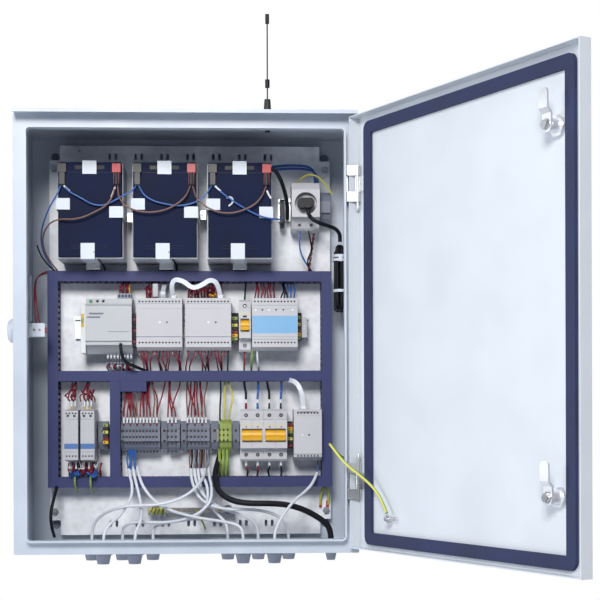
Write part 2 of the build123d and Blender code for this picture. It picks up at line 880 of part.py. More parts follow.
comms_outline = [
    (rail_depth, -39),
    (62, -39),
    (80, -34),
    (80, -30),
    (82, -29),
    (82, 29),
    (80, 30),
    (80, 39),
    (rail_depth, 39),
]
with BuildPart() as comms_module:
    section(181.2, row_terminals, comms_outline, 43)
    screw_holes(80, screw_row(181.2, row_terminals + 35, 6), 1.5, 4)
finish(comms_module, "comms_module")

# ---- earth bar --------------------------------------------------------------------------------
bar_z = floor_z + 54.5
bar_x = 1.5
with BuildPart() as earth_bar:
    slab(bar_x, bar_z, 135, 7, 40, 46)
    screw_holes(46, [(bar_x + (step - 6.5) * 8, bar_z) for step in range(14)], 2, 4)
finish(earth_bar, "earth_bar")

with BuildPart() as earth_bar_supports:
    with BuildSketch(front(plate_depth)):
        with Locations((-55, bar_z), (58, bar_z)):
            RegularPolygon(radius=7, side_count=8)
    extrude(amount=20)
finish(earth_bar_supports, "earth_bar_supports")

# ---- socket outlet, plug and its lead ------------------------------------------------------------
socket_x = 179
recess_z = 206
recess_radius = 17
recess_floor = 76
socket_outline = [
    (rail_depth, -37),
    (62, -37),
    (66, -34),
    (74, -20),
    (88, -19),
    (88, 23),
    (78, 24.5),
    (74, 35),
    (rail_depth, 35),
]
with BuildPart() as socket_outlet:
    section(socket_x, row_socket, socket_outline, 43)
    screw_holes(88, [(socket_x, recess_z)], recess_radius, 88 - recess_floor)
    screw_holes(70, [(socket_x - 9, row_socket - 29), (socket_x + 9, row_socket - 29)], 2.4, 10)
finish(socket_outlet, "socket_outlet")

with BuildPart() as mains_plug:
    with BuildSketch(front(recess_floor)):
        with Locations((socket_x, recess_z)):
            RectangleRounded(26, 15, 7)
    extrude(amount=20)
    with BuildSketch(front(recess_floor + 8)):
        with Locations((socket_x + 3, recess_z - 2)):
            Circle(6.5)
    extrude(amount=16)
finish(mains_plug, "mains_plug")

bundle_x = 233
bundle_depth = 62
bundle_top = 150
bundle_radius = 10.5
bundle_length = 113
plug_lead_route = [
    (182, 92, 197.4),
    (182, 92, 190),
    (188, 97, 180),
    (200, 96, 174),
    (213, 87, 171.5),
    (225, 75, 169),
    (232, 66, 163),
    (bundle_x, bundle_depth, 155),
    (bundle_x, bundle_depth, bundle_top),
]

battery_lead_route = [
    (125.2, 118.4, 253),
    (130, 118.4, 252),
    (137, 113, 244),
    (143, 101, 232),
    (148, 86, 219),
    (151, 70, 207),
    (152, 55, 196),
    (152, 42, 188),
]
with BuildPart() as black_leads:
    tube(plug_lead_route, lead_diameter)
    tube(battery_lead_route, lead_diameter)
    with BuildSketch(Plane.XY.offset(bundle_top - bundle_length)):
        with Locations((bundle_x, -bundle_depth)):
            Circle(bundle_radius)
    extrude(amount=bundle_length)
finish(black_leads, "black_leads")

# ---- battery links -------------------------------------------------------------------------------
blue_routes = [
    [
        (-190.2, 118.5, 227.8),
        (-195, 122, 214),
        (-205, 118, 199),
        (-215, 105, 183),
        (-223, 88, 166),
        (-227, 70, 149),
        (-224, 54, 131),
        (-216, 44, 116),
        (-209, 40, 106),
    ],
    [
        (-187, 118.5, 227.8),
        (-178, 121, 217),
        (-162, 121, 209),
        (-146, 120.5, 199),
        (-129, 120.5, 196),
        (-112, 121, 203),
        (-95, 121, 213),
        (-83, 121, 219),
        (-77.6, 118.5, 227.8),
    ],
    [
        (-74.4, 118.5, 227.8),
        (-67, 121, 213),
        (-53, 121, 204),
        (-34, 120.5, 199),
        (-11, 120.5, 196),
        (12, 121, 202),
        (27, 121, 213),
        (35.6, 118.5, 227.8),
    ],
    [
        (38.6, 118.5, 227.8),
        (51, 121, 216),
        (69, 121, 203),
        (88, 121.5, 191),
        (106, 121.5, 182),
        (122, 120, 178),
        (135, 109, 178),
        (142, 91, 181),
        (144, 73, 188),
    ],
]
brown_routes = [
    [
        (-108.8, 118.5, 227.8),
        (-112, 124, 211),
        (-122, 125, 196),
        (-138, 125, 187),
        (-155, 125, 179),
        (-172, 125, 175),
        (-190, 124, 176),
        (-206, 116, 172),
        (-217, 101, 162),
        (-223, 83, 148),
        (-221, 65, 131),
        (-213, 50, 117),
        (-205, 42, 107),
    ],
    [
        (-105.6, 118.5, 227.8),
        (-104, 124, 209),
        (-93, 125, 194),
        (-73, 125, 187),
        (-51, 125, 186),
        (-30, 125, 191),
        (-13, 125, 201),
        (-2, 124, 212),
        (3.4, 118.5, 227.8),
    ],
    [
        (6.6, 118.5, 227.8),
        (12, 124, 208),
        (27, 125, 194),
        (47, 125, 186),
        (66, 125, 185),
        (84, 125, 190),
        (100, 125, 198),
        (111, 124, 210),
        (118, 118.5, 227.8),
    ],
]
with BuildPart() as blue_links:
    for route in blue_routes:
        tube(route, link_diameter)
finish(blue_links, "blue_links")
with BuildPart() as brown_links:
    for route in brown_routes:
        tube(route, link_diameter)
finish(brown_links, "brown_links")

# ---- glands and the cables that leave through them -----------------------------------------------
gland_sizes = (
    (gland_spots, gland_radius, 12),
    ([(mains_gland_x, -mains_gland_depth)], mains_gland_radius, 9.5),
)
with BuildPart() as cable_glands:
    for spots, stud, body in gland_sizes:
        with BuildSketch(Plane.XY.offset(floor_z)):
            with Locations(*spots):
                Circle(stud)
        extrude(amount=gland_top - floor_z)
        with BuildSketch(Plane.XY.offset(floor_z - 6)):
            with Locations(*spots):
                RegularPolygon(radius=body, side_count=6, major_radius=False)
        extrude(amount=6)
        with BuildSketch(Plane.XY.offset(floor_z - 6)):
            with Locations(*spots):
                Circle(body - 0.5)
        extrude(amount=-13, taper=12)
        with BuildSketch(Plane.XY.offset(floor_z - 19)):
            with Locations(*spots):
                Circle(body * 0.4)
        extrude(amount=5, mode=Mode.SUBTRACT)
        # lock nut inside
        with BuildSketch(Plane.XY.offset(floor_z + sheet)):
            with Locations(*spots):
                RegularPolygon(radius=body + 1, side_count=6, major_radius=False)
                Circle(stud + running_clearance, mode=Mode.SUBTRACT)
        extrude(amount=5)
finish(cable_glands, "cable_glands")

signal_routes = [
    [
        (-95, 56, -198),
        (-93, 66, -210),
        (-88, 78, -224),
        (-88, 90, -242),
        (-96, 106, -258),
        (-107, 122, -272),
        (-119, 137, -282),
        (-126.25, 145, gland_top + 14),
        (-126.25, 145, gland_top),
    ],
    [
        (-88.5, 56, -198),
        (-86, 66, -210),
        (-81, 79, -226),
        (-75, 94, -247),
        (-71, 113, -267),
        (-73, 131, -281),
        (-79.75, 145, gland_top + 15),
        (-79.75, 145, gland_top),
    ],
    [
        (-82, 56, -198),
        (-79, 66, -210),
        (-71, 80, -229),
        (-54, 92, -249),
        (-31, 103, -262),
        (-6, 113, -269),
        (20, 122, -274),
        (45, 132, -277),
        (66, 141, -280),
        (78, 144, -286),
        (81.25, 145, gland_top + 12),
        (81.25, 145, gland_top),
    ],
    [
        (1, 56, -198),
        (1, 66, -210),
        (5, 78, -226),
        (14, 87, -245),
        (33, 94, -257),
        (60, 98, -262),
        (92, 97, -262),
        (120, 92, -266),
        (140, 85, -276),
        (151, 80, gland_top + 17),
        (151, 80, gland_top),
    ],
    [
        (6.4, 56, -198),
        (6.8, 66, -210),
        (12, 74, -229),
        (28, 79, -250),
        (52, 83, -263),
        (77, 85, -270),
        (97, 83.5, -280),
        (104.5, 80, gland_top + 15),
        (104.5, 80, gland_top),
    ],
    [
        (11.8, 56, -198),
        (12.5, 66, -210),
        (17, 69, -230),
        (27, 71, -252),
        (42, 75, -270),
        (54, 79, -282),
        (58, 80, gland_top + 14),
        (58, 80, gland_top),
    ],
    [
        (17.2, 56, -198),
        (18, 66, -210),
        (26, 76, -224),
        (28, 84, -240),
        (26, 84.5, -256),
        (15, 89, -269),
        (-2, 93, -277),
        (-21, 93, -280),
        (-42, 87, -283),
        (-53.5, 82, -288),
        (-56.5, 80, gland_top + 11),
        (-56.5, 80, gland_top),
    ],
    [
        (28, 56, -198),
        (29, 68, -210),
        (34, 90, -228),
        (33, 103, -249),
        (17, 107, -266),
        (-8, 104, -277),
        (-35, 101, -281),
        (-63, 98, -281),
        (-87, 91, -281),
        (-100, 83, -287),
        (-103, 80, gland_top + 11),
        (-103, 80, gland_top),
    ],
    [
        (22.6, 56, -198),
        (22, 70, -210),
        (16, 92, -221),
        (2, 108, -236),
        (-22, 117, -248),
        (-52, 118, -254),
        (-78, 119, -254),
        (-100, 115, -256),
        (-121, 104, -262),
        (-140, 90, -274),
        (-149.5, 80, gland_top + 18),
        (-149.5, 80, gland_top),
    ],
    [
        (196, 65, -208),
        (190, 80, -222),
        (176, 92, -236),
        (161, 110, -246),
        (147, 127, -261),
        (135, 139, -278),
        (127.75, 145, gland_top + 15),
        (127.75, 145, gland_top),
    ],
]
with BuildPart() as signal_cables:
    for route in signal_routes:
        tube(route, signal_diameter)
finish(signal_cables, "signal_cables")

mains_route = [
    (46, 47, -180),
    (40, 69, -199),
    (38, 88, -218),
    (45, 103, -236),
    (64, 113, -248),
    (89, 116, -252),
    (118, 114, -252),
    (147, 110, -254),
    (174, 105, -262),
    (197, 102, -275),
    (mains_gland_x, mains_gland_depth, gland_top + 19),
    (mains_gland_x, mains_gland_depth, gland_top),
]
with BuildPart() as mains_cable:
    tube(mains_route, mains_diameter)
finish(mains_cable, "mains_cable")

# ---- antenna --------------------------------------------------------------------------------
roof_z = body_height / 2
antenna_spot = (antenna_x, -antenna_depth)
whip_radius = 1
with BuildPart() as antenna_base:
    with BuildSketch(Plane.XY.offset(roof_z - 10)):
        with Locations(antenna_spot):
            Circle(antenna_stud_radius)
    extrude(amount=10)
    with BuildSketch(Plane.XY.offset(roof_z)):
        with Locations(antenna_spot):
            RegularPolygon(radius=9, side_count=6, major_radius=False)
    extrude(amount=5)
    with BuildSketch(Plane.XY.offset(roof_z + 5)):
        with Locations(antenna_spot):
            Circle(7)
    extrude(amount=34.5, taper=4)
    with BuildSketch(Plane.XY.offset(roof_z - sheet - 4)):
        with Locations(antenna_spot):
            RegularPolygon(radius=7, side_count=6, major_radius=False)
            Circle(antenna_stud_radius + running_clearance, mode=Mode.SUBTRACT)
    extrude(amount=4)
finish(antenna_base, "antenna_base")

whip_start = roof_z + 39.5
with BuildPart() as antenna_whip:
    for low, high, radius in ((0, 18, whip_radius), (18, 30, 3.5), (30, 115, whip_radius), (115, 129, 3)):
        with BuildSketch(Plane.XY.offset(whip_start + low)):
            with Locations(antenna_spot):
                Circle(radius)
        extrude(amount=high - low)
finish(antenna_whip, "antenna_whip")

# ---- push-button in the left wall ----------------------------------------------------------------
outside = -body_width / 2
button_travel = 4
bezel_reach = 4.5
stem_radius = 6
cap_under = outside - bezel_reach - button_travel - 0.4


def disc(x, length, radius, mode=Mode.ADD):
    """Round piece of the button, from x along +X."""
    with BuildSketch(Plane.YZ.offset(x)) as shape:
        with Locations((-button_depth, button_z)):
            Circle(radius)
    extrude(shape.sketch, amount=length, mode=mode)


with BuildPart() as side_button_housing:
    disc(outside - bezel_reach, bezel_reach, 15)
    disc(outside, 14, button_barrel_radius)
    disc(outside - bezel_reach, bezel_reach + 14, stem_radius + running_clearance, Mode.SUBTRACT)
    with BuildSketch(Plane.YZ.offset(outside + sheet)):
        with Locations((-button_depth, button_z)):
            RegularPolygon(radius=14, side_count=6, major_radius=False)
            Circle(button_barrel_radius + running_clearance, mode=Mode.SUBTRACT)
    extrude(amount=4)
finish(side_button_housing, "side_button_housing")

with BuildPart() as side_button_cap:
    disc(cap_under, 10 - cap_under + outside, stem_radius)
    disc(cap_under - 9, 9, 19)
    fillet(edges().filter_by(GeomType.CIRCLE).sort_by(Axis.X)[0], radius=7)
finish(side_button_cap, "side_button_cap")

contact_x = outside + 14
with BuildPart() as side_button_contact:
    with BuildSketch(Plane.YZ.offset(contact_x)):
        with Locations((-button_depth, button_z)):
            Rectangle(24, 20)
    extrude(amount=23)
    disc(contact_x, 3, stem_radius + part_gap, Mode.SUBTRACT)
finish(side_button_contact, "side_button_contact")
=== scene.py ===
import math
import random

import bmesh
import bpy
from mathutils import Matrix, Vector


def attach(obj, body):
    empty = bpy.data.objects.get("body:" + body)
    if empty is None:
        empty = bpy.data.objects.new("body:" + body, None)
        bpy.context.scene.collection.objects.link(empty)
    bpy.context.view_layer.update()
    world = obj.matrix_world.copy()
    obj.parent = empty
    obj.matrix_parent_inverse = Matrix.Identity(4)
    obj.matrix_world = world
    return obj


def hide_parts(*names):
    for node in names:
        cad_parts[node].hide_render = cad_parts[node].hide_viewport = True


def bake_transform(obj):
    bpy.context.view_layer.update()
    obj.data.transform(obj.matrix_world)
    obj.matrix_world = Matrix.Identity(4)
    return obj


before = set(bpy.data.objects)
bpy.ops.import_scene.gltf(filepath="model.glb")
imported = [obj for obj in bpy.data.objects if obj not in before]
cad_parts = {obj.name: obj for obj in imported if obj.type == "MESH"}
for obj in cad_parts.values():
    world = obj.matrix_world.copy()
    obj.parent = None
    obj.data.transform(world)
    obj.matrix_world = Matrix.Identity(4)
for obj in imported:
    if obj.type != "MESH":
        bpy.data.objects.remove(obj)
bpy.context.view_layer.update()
scene = bpy.context.scene
chance = random.Random(11)
millimetre = 0.001
home = "cabinet"


def at(x, depth, z):
    # x to the right, depth out from the wall, z up, in millimetres from the wall bolts' centre
    return Vector((x, -depth, z)) * millimetre


# camera, lights and floor
studio = {
    "cameraPlace": (72.7, 2338.2, -131.6),
    "cameraYaw": 2.448,
    "cameraRoll": -0.178,
    "lens": 88.24,
    "shiftUp": 0.206,
    "floorDrop": 0.95,
    "floorRadius": 3.3,
    "skyTint": (0.76, 0.86, 1.0, 1.0),
    "skyStrength": 0.19,
}
lamps = {
    "keyLamp": {"place": (-0.3, -3.1, 1.25), "size": 1.0, "power": 84, "tint": (1.0, 0.985, 0.955)},
    "fillLamp": {"place": (-3.1, -0.35, 0.35), "size": 1.4, "power": 48, "tint": (0.93, 0.96, 1.0)},
    "topLamp": {"place": (0.2, -0.4, 2.2), "size": 1.6, "power": 26, "tint": (1.0, 1.0, 1.0)},
    "backLamp": {"place": (-0.8, 2.4, 1.2), "size": 2.0, "power": 40, "tint": (0.95, 0.97, 1.0)},
}


def makeCamera():
    data = bpy.data.cameras.new("camera")
    data.lens = studio["lens"]
    data.shift_y = studio["shiftUp"]
    data.clip_start = 0.05
    camera = bpy.data.objects.new("camera", data)
    scene.collection.objects.link(camera)
    yaw = math.radians(studio["cameraYaw"])
    roll = math.radians(studio["cameraRoll"])
    level = Matrix.Rotation(math.radians(90), 4, "X")
    turn = Matrix.Rotation(-yaw, 4, "Z") @ level @ Matrix.Rotation(roll, 4, "Z")
    camera.matrix_world = Matrix.Translation(at(*studio["cameraPlace"])) @ turn
    scene.camera = camera


def makeStudio():
    world = bpy.data.worlds.new("studioWorld")
    scene.world = world
    world.use_nodes = True
    nodes = world.node_tree.nodes
    links = world.node_tree.links
    nodes.clear()
    output = nodes.new("ShaderNodeOutputWorld")
    mix = nodes.new("ShaderNodeMixShader")
    rays = nodes.new("ShaderNodeLightPath")
    fill = nodes.new("ShaderNodeBackground")
    seen = nodes.new("ShaderNodeBackground")
    fill.inputs["Color"].default_value = studio["skyTint"]
    fill.inputs["Strength"].default_value = studio["skyStrength"]
    seen.inputs["Color"].default_value = (1, 1, 1, 1)
    links.new(rays.outputs["Is Camera Ray"], mix.inputs[0])
    links.new(fill.outputs[0], mix.inputs[1])
    links.new(seen.outputs[0], mix.inputs[2])
    links.new(mix.outputs[0], output.inputs[0])
    for name, lamp in lamps.items():
        data = bpy.data.lights.new(name, "AREA")
        data.shape = "DISK"
        data.size = lamp["size"]
        data.energy = lamp["power"]
        data.color = lamp["tint"]
        light = bpy.data.objects.new(name, data)
        scene.collection.objects.link(light)
        light.location = lamp["place"]
        light.rotation_euler = (-light.location).to_track_quat("-Z", "Y").to_euler()
    bm = bmesh.new()
    bmesh.ops.create_circle(bm, cap_ends=True, segments=96, radius=studio["floorRadius"])
    bmesh.ops.translate(bm, vec=(0, 0, -studio["floorDrop"]), verts=bm.verts)
    mesh = bpy.data.meshes.new("studioFloor")
    bm.to_mesh(mesh)
    bm.free()
    floor = bpy.data.objects.new("studioFloor", mesh)
    scene.collection.objects.link(floor)
    paint = bpy.data.materials.new("floorPaint")
    paint.use_nodes = True
    paint.node_tree.nodes["Principled BSDF"].inputs["Base Color"].default_value = (0.86, 0.87, 0.88, 1)
    paint.node_tree.nodes["Principled BSDF"].inputs["Roughness"].default_value = 0.8
    mesh.materials.append(paint)
    scene.view_settings.view_transform = "Standard"


# finishes: colour, roughness, metal, how far the colour drifts, and the surface grain
# what a finish has unless it says otherwise
plainFinish = {"metal": 0.0, "gloss": 0.5, "drift": 0.10, "grain": 0.08, "size": 900}
finishes = {
    "powderCoat": {
        "colour": (0.50, 0.555, 0.645),
        "rough": 0.38, "drift": 0.05, "grain": 0.10, "size": 950, "slot": "body_paint",
    },
    # the body's powder coat drawn lighter on the door: painted light
    "litDoorCoat": {
        "colour": (0.61, 0.65, 0.71),
        "rough": 0.36, "drift": 0.02, "grain": 0.10, "size": 950, "slot": "body_paint",
    },
    "foamSeal": {
        "colour": (0.016, 0.024, 0.075),
        "rough": 0.75, "drift": 0.20, "grain": 0.45, "size": 1400, "slot": "gasket_foam",
    },
    "zincPart": {
        "colour": (0.62, 0.64, 0.66),
        "rough": 0.30, "metal": 0.85, "drift": 0.12, "grain": 0.06, "size": 600, "slot": "hinge_zinc",
    },
    "brightZinc": {
        "colour": (0.78, 0.80, 0.84),
        "rough": 0.34, "metal": 0.55, "grain": 0.05, "size": 500, "slot": "lock_zinc",
    },
    "boltSteel": {
        "colour": (0.58, 0.58, 0.60),
        "rough": 0.28, "metal": 0.9, "grain": 0.05, "size": 700, "slot": "bolt_steel",
    },
    "plateZinc": {
        "colour": (0.84, 0.86, 0.91), "rough": 0.46, "grain": 0.05, "size": 160, "slot": "plate_zinc",
    },
    "railZinc": {
        "colour": (0.62, 0.63, 0.66),
        "rough": 0.28, "metal": 0.8, "drift": 0.08, "grain": 0.03, "size": 400, "slot": "rail_zinc",
    },
    "ductPvc": {
        "colour": (0.042, 0.050, 0.150), "rough": 0.50, "gloss": 0.25, "size": 1200, "slot": "duct_pvc",
    },
    "batteryCase": {
        "colour": (0.010, 0.016, 0.050),
        "rough": 0.50, "gloss": 0.05, "drift": 0.22, "grain": 0.14, "size": 1600, "slot": "battery_case",
    },
    "cradleSheet": {
        "colour": (0.50, 0.53, 0.59),
        "rough": 0.40, "drift": 0.06, "grain": 0.06, "size": 800, "slot": "cradle_sheet",
    },
    "clipNylon": {
        "colour": (0.66, 0.72, 0.80), "rough": 0.42, "drift": 0.04, "grain": 0.05, "slot": "clip_white",
    },
    "blackBoot": {"colour": (0.015, 0.016, 0.020), "rough": 0.45, "drift": 0.20, "slot": "boot_black"},
    "redBoot": {"colour": (0.42, 0.012, 0.020), "rough": 0.40, "drift": 0.12, "slot": "boot_red"},
    "modulePlastic": {
        "colour": (0.54, 0.54, 0.58),
        "rough": 0.44, "drift": 0.04, "grain": 0.10, "size": 1700, "slot": "module_grey",
    },
    "supplyPlastic": {
        "colour": (0.51, 0.53, 0.56),
        "rough": 0.46, "drift": 0.05, "grain": 0.10, "size": 1700, "slot": "supply_grey",
    },
    "relayPlastic": {
        "colour": (0.47, 0.48, 0.52), "rough": 0.44, "drift": 0.04, "size": 1500, "slot": "relay_grey",
    },
    "terminalPlastic": {"colour": (0.17, 0.19, 0.25), "rough": 0.50, "size": 1500, "slot": "relay_grey"},
    "yellowLever": {
        "colour": (0.78, 0.42, 0.018),
        "rough": 0.30, "drift": 0.06, "grain": 0.03, "slot": "toggle_yellow",
    },
    "earthGreen": {
        "colour": (0.27, 0.35, 0.085),
        "rough": 0.48, "drift": 0.12, "grain": 0.06, "size": 1200, "slot": "earth_green",
    },
    "earthYellow": {
        "colour": (0.66, 0.62, 0.14),
        "rough": 0.45, "drift": 0.08, "grain": 0.06, "size": 1200, "slot": "earth_green",
    },
    "connectorBlack": {
        "colour": (0.024, 0.028, 0.032),
        "rough": 0.48, "gloss": 0.3, "drift": 0.15, "size": 1400, "slot": "connector_black",
    },
    "platedBrass": {
        "colour": (0.62, 0.57, 0.46),
        "rough": 0.30, "metal": 0.9, "grain": 0.04, "size": 500, "slot": "bar_brass",
    },
    "plugBlack": {
        "colour": (0.010, 0.011, 0.015),
        "rough": 0.42, "gloss": 0.25, "drift": 0.15, "grain": 0.10, "size": 1500, "slot": "plug_black",
    },
    "sheathBlack": {
        "colour": (0.009, 0.010, 0.015),
        "rough": 0.48, "gloss": 0.2, "drift": 0.15, "grain": 0.06, "slot": "lead_black",
    },
    "wireBlue": {
        "colour": (0.035, 0.125, 0.43), "rough": 0.32, "drift": 0.08, "grain": 0.02, "slot": "wire_blue",
    },
    "wireBrown": {"colour": (0.20, 0.105, 0.075), "rough": 0.36, "grain": 0.02, "slot": "wire_brown"},
    "wireRed": {"colour": (0.205, 0.012, 0.030), "rough": 0.34, "grain": 0.02, "slot": "boot_red"},
    "wireGreen": {"colour": (0.10, 0.30, 0.05), "rough": 0.36, "grain": 0.02, "slot": "strap_earth"},
    "sheathWhite": {
        "colour": (0.72, 0.76, 0.83), "rough": 0.40, "drift": 0.05, "grain": 0.05, "slot": "cable_white",
    },
    "glandGrey": {"colour": (0.25, 0.28, 0.36), "rough": 0.45, "size": 1300, "slot": "gland_grey"},
    "buttonGrey": {
        "colour": (0.46, 0.50, 0.58),
        "rough": 0.36, "drift": 0.06, "grain": 0.05, "size": 1000, "slot": "button_cap",
    },
    "bandBlue": {
        "colour": (0.20, 0.44, 0.72), "rough": 0.35, "drift": 0.03, "grain": 0.02, "slot": "module_grey",
    },
    "bandDeepBlue": {
        "colour": (0.075, 0.165, 0.42), "rough": 0.35, "drift": 0.05, "grain": 0.02, "slot": "relay_grey",
    },
    # near-black painted shade for the inside of holes, slots, entries and wells; the battery seams, dots and
    # window marks share it
    "holeShadeAndDarkMarks": {
        "colour": (0.012, 0.013, 0.016), "rough": 0.60, "grain": 0.02, "slot": "connector_black",
    },
    "ledGreen": {
        "colour": (0.10, 0.62, 0.16), "rough": 0.20, "drift": 0.02, "grain": 0.0, "slot": "module_grey",
    },
    "labelWhite": {
        "colour": (0.76, 0.78, 0.80),
        "rough": 0.48, "drift": 0.03, "grain": 0.02, "size": 700, "slot": "module_grey",
    },
}
made = {}


def finish(name):
    # one Principled material: drifting colour and roughness, and a fine surface grain
    if name in made:
        return made[name]
    look = {**plainFinish, **finishes[name]}
    material = bpy.data.materials.new(name)
    material.use_nodes = True
    nodes = material.node_tree.nodes
    links = material.node_tree.links
    shader = nodes["Principled BSDF"]
    shader.inputs["Metallic"].default_value = look["metal"]
    shader.inputs["Specular IOR Level"].default_value = look["gloss"]
    place = nodes.new("ShaderNodeTexCoord")
    patches = nodes.new("ShaderNodeTexNoise")
    patches.inputs["Scale"].default_value = 14
    patches.inputs["Detail"].default_value = 6
    links.new(place.outputs["Object"], patches.inputs["Vector"])
    ramp = nodes.new("ShaderNodeValToRGB")
    low, high = 1 - look["drift"], 1 + look["drift"]
    ramp.color_ramp.elements[0].position = 0.32
    ramp.color_ramp.elements[1].position = 0.68
    ramp.color_ramp.elements[0].color = [value * low for value in look["colour"]] + [1]
    ramp.color_ramp.elements[1].color = [min(1, value * high) for value in look["colour"]] + [1]
    links.new(patches.outputs["Fac"], ramp.inputs["Fac"])
    links.new(ramp.outputs["Color"], shader.inputs["Base Color"])
    worn = nodes.new("ShaderNodeMapRange")
    worn.inputs["From Min"].default_value = 0.3
    worn.inputs["From Max"].default_value = 0.7
    worn.inputs["To Min"].default_value = look["rough"] - 0.07
    worn.inputs["To Max"].default_value = look["rough"] + 0.07
    links.new(patches.outputs["Fac"], worn.inputs["Value"])
    links.new(worn.outputs["Result"], shader.inputs["Roughness"])
    if look["grain"]:
        texture = nodes.new("ShaderNodeTexNoise")
        texture.inputs["Scale"].default_value = look["size"]
        texture.inputs["Detail"].default_value = 3
        links.new(place.outputs["Object"], texture.inputs["Vector"])
        bump = nodes.new("ShaderNodeBump")
        bump.inputs["Strength"].default_value = look["grain"]
        bump.inputs["Distance"].default_value = 0.0004
        links.new(texture.outputs["Fac"], bump.inputs["Height"])
        links.new(bump.outputs["Normal"], shader.inputs["Normal"])
    made[name] = material
    return material


def galvanise(material):
    # crystal spangle over the plain zinc
    nodes = material.node_tree.nodes
    links = material.node_tree.links
    shader = nodes["Principled BSDF"]
    place = nodes["Texture Coordinate"]
    spangle = nodes.new("ShaderNodeTexVoronoi")
    spangle.inputs["Scale"].default_value = 95
    links.new(place.outputs["Object"], spangle.inputs["Vector"])
    shade = nodes.new("ShaderNodeMapRange")
    shade.inputs["To Min"].default_value = 0.90
    shade.inputs["To Max"].default_value = 1.08
    links.new(spangle.outputs["Distance"], shade.inputs["Value"])
    mix = nodes.new("ShaderNodeMix")
    mix.data_type = "RGBA"
    mix.blend_type = "MULTIPLY"
    mix.inputs["Factor"].default_value = 1.0
    links.new(nodes["Color Ramp"].outputs["Color"], mix.inputs[6])
    links.new(shade.outputs["Result"], mix.inputs[7])
    links.new(mix.outputs[2], shader.inputs["Base Color"])


def stripedWire():
    # two-colour insulation, split round the wire by its own map
    if "earthWire" in made:
        return made["earthWire"]
    material = finish("wireGreen").copy()
    material.name = "earthWire"
    nodes = material.node_tree.nodes
    links = material.node_tree.links
    place = nodes["Texture Coordinate"]
    split = nodes.new("ShaderNodeSeparateXYZ")
    links.new(place.outputs["UV"], split.inputs["Vector"])
    wave = nodes.new("ShaderNodeMath")
    wave.operation = "PINGPONG"
    wave.inputs[1].default_value = 0.5
    links.new(split.outputs["Y"], wave.inputs[0])
    edge = nodes.new("ShaderNodeValToRGB")
    edge.color_ramp.elements[0].position = 0.20
    edge.color_ramp.elements[1].position = 0.23
    edge.color_ramp.elements[0].color = (0.15, 0.30, 0.06, 1)
    edge.color_ramp.elements[1].color = (0.62, 0.58, 0.11, 1)
    links.new(wave.outputs["Value"], edge.inputs["Fac"])
    links.new(edge.outputs["Color"], nodes["Principled BSDF"].inputs["Base Color"])
    made["earthWire"] = material
    return material


# what each carried-over piece is finished in
cadFinishes = {
    "powderCoat": ["enclosure_shell"],
    "litDoorCoat": ["door_panel"],
    "foamSeal": ["door_gasket"],
    "zincPart": ["hinge_frame_leaves", "hinge_door_leaves", "hinge_pins"],
    "brightZinc": [
        "lock_barrels", "upper_lock_spindle", "lower_lock_spindle", "upper_lock_cam", "lower_lock_cam",
    ],
    "boltSteel": ["upper_cam_bolt", "lower_cam_bolt", "door_earth_stud", "wall_earth_stud", "plate_fixings"],
    "plateZinc": ["mounting_plate"],
    "railZinc": ["din_rails"],
    "ductPvc": ["side_ducts", "cross_ducts", "centre_ducts", "duct_covers"],
    "batteryCase": ["battery_left", "battery_centre", "battery_right"],
    "cradleSheet": ["battery_cradles"],
    "clipNylon": ["battery_clips", "side_button_contact", "side_button_housing"],
    "blackBoot": ["negative_boots"],
    "redBoot": ["positive_boots"],
    "modulePlastic": [
        "controllers", "meter_module", "comms_module", "breaker_left_body",
        "breaker_right_body", "single_breaker_body", "socket_outlet",
    ],
    "supplyPlastic": ["power_supply"],
    "relayPlastic": ["relays"],
    "terminalPlastic": ["terminal_blocks", "end_clamps", "earth_bar_supports"],
    "yellowLever": ["single_breaker_toggle", "breaker_left_toggle", "breaker_right_toggle"],
    "earthGreen": ["earth_terminals"],
    "connectorBlack": ["bus_connectors", "antenna_base"],
    "platedBrass": ["earth_bar"],
    "plugBlack": ["mains_plug", "antenna_whip"],
    "wireBlue": ["blue_links"],
    "wireBrown": ["brown_links"],
    "glandGrey": ["cable_glands"],
    "buttonGrey": ["side_button_cap"],
}


def dressCad():
    for name, nodes in cadFinishes.items():
        for node in nodes:
            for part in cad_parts[node].material_slots:
                part.material = finish(name)
    galvanise(finish("plateZinc"))


# mesh helpers
def block(bm, left, right, back, front, bottom, top, rounding=0.0):
    made = bmesh.ops.create_cube(bm, size=1.0)["verts"]
    low, high = at(left, front, bottom), at(right, back, top)
    bmesh.ops.scale(bm, vec=high - low, verts=made)
    bmesh.ops.translate(bm, vec=(high + low) / 2, verts=made)
    if rounding:
        edges = list({edge for corner in made for edge in corner.link_edges})
        bmesh.ops.bevel(
            bm, geom=edges, offset=rounding * millimetre, offset_type="OFFSET",
            segments=2, profile=0.5, affect="EDGES", material=-1,
        )


def drum(bm, centre, axis, radius, length, sides=14, tip=None):
    turn = Vector((0, 0, 1)).rotation_difference(Vector(axis)).to_matrix().to_4x4()
    bmesh.ops.create_cone(
        bm, cap_ends=True, segments=sides, radius1=radius * millimetre,
        radius2=(radius if tip is None else tip) * millimetre, depth=length * millimetre,
        matrix=Matrix.Translation(at(*centre)) @ turn,
    )


def place(name, bm, look, body=home):
    bmesh.ops.recalc_face_normals(bm, faces=bm.faces)
    mesh = bpy.data.meshes.new(name)
    bm.to_mesh(mesh)
    bm.free()
    piece = bpy.data.objects.new(name, mesh)
    scene.collection.objects.link(piece)
    mesh.materials.append(finish(look))
    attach(piece, body)
    return piece


def blocks(name, look, boxes, rounding=0.3, body=home):
    bm = bmesh.new()
    for box in boxes:
        block(bm, *box, rounding=rounding)
    return place(name, bm, look, body)


def discs(name, look, spots, radius, length, sides=14, axis=(0, -1, 0), tip=None):
    bm = bmesh.new()
    for spot in spots:
        drum(bm, spot, axis, radius, length, sides, tip)
    return place(name, bm, look)


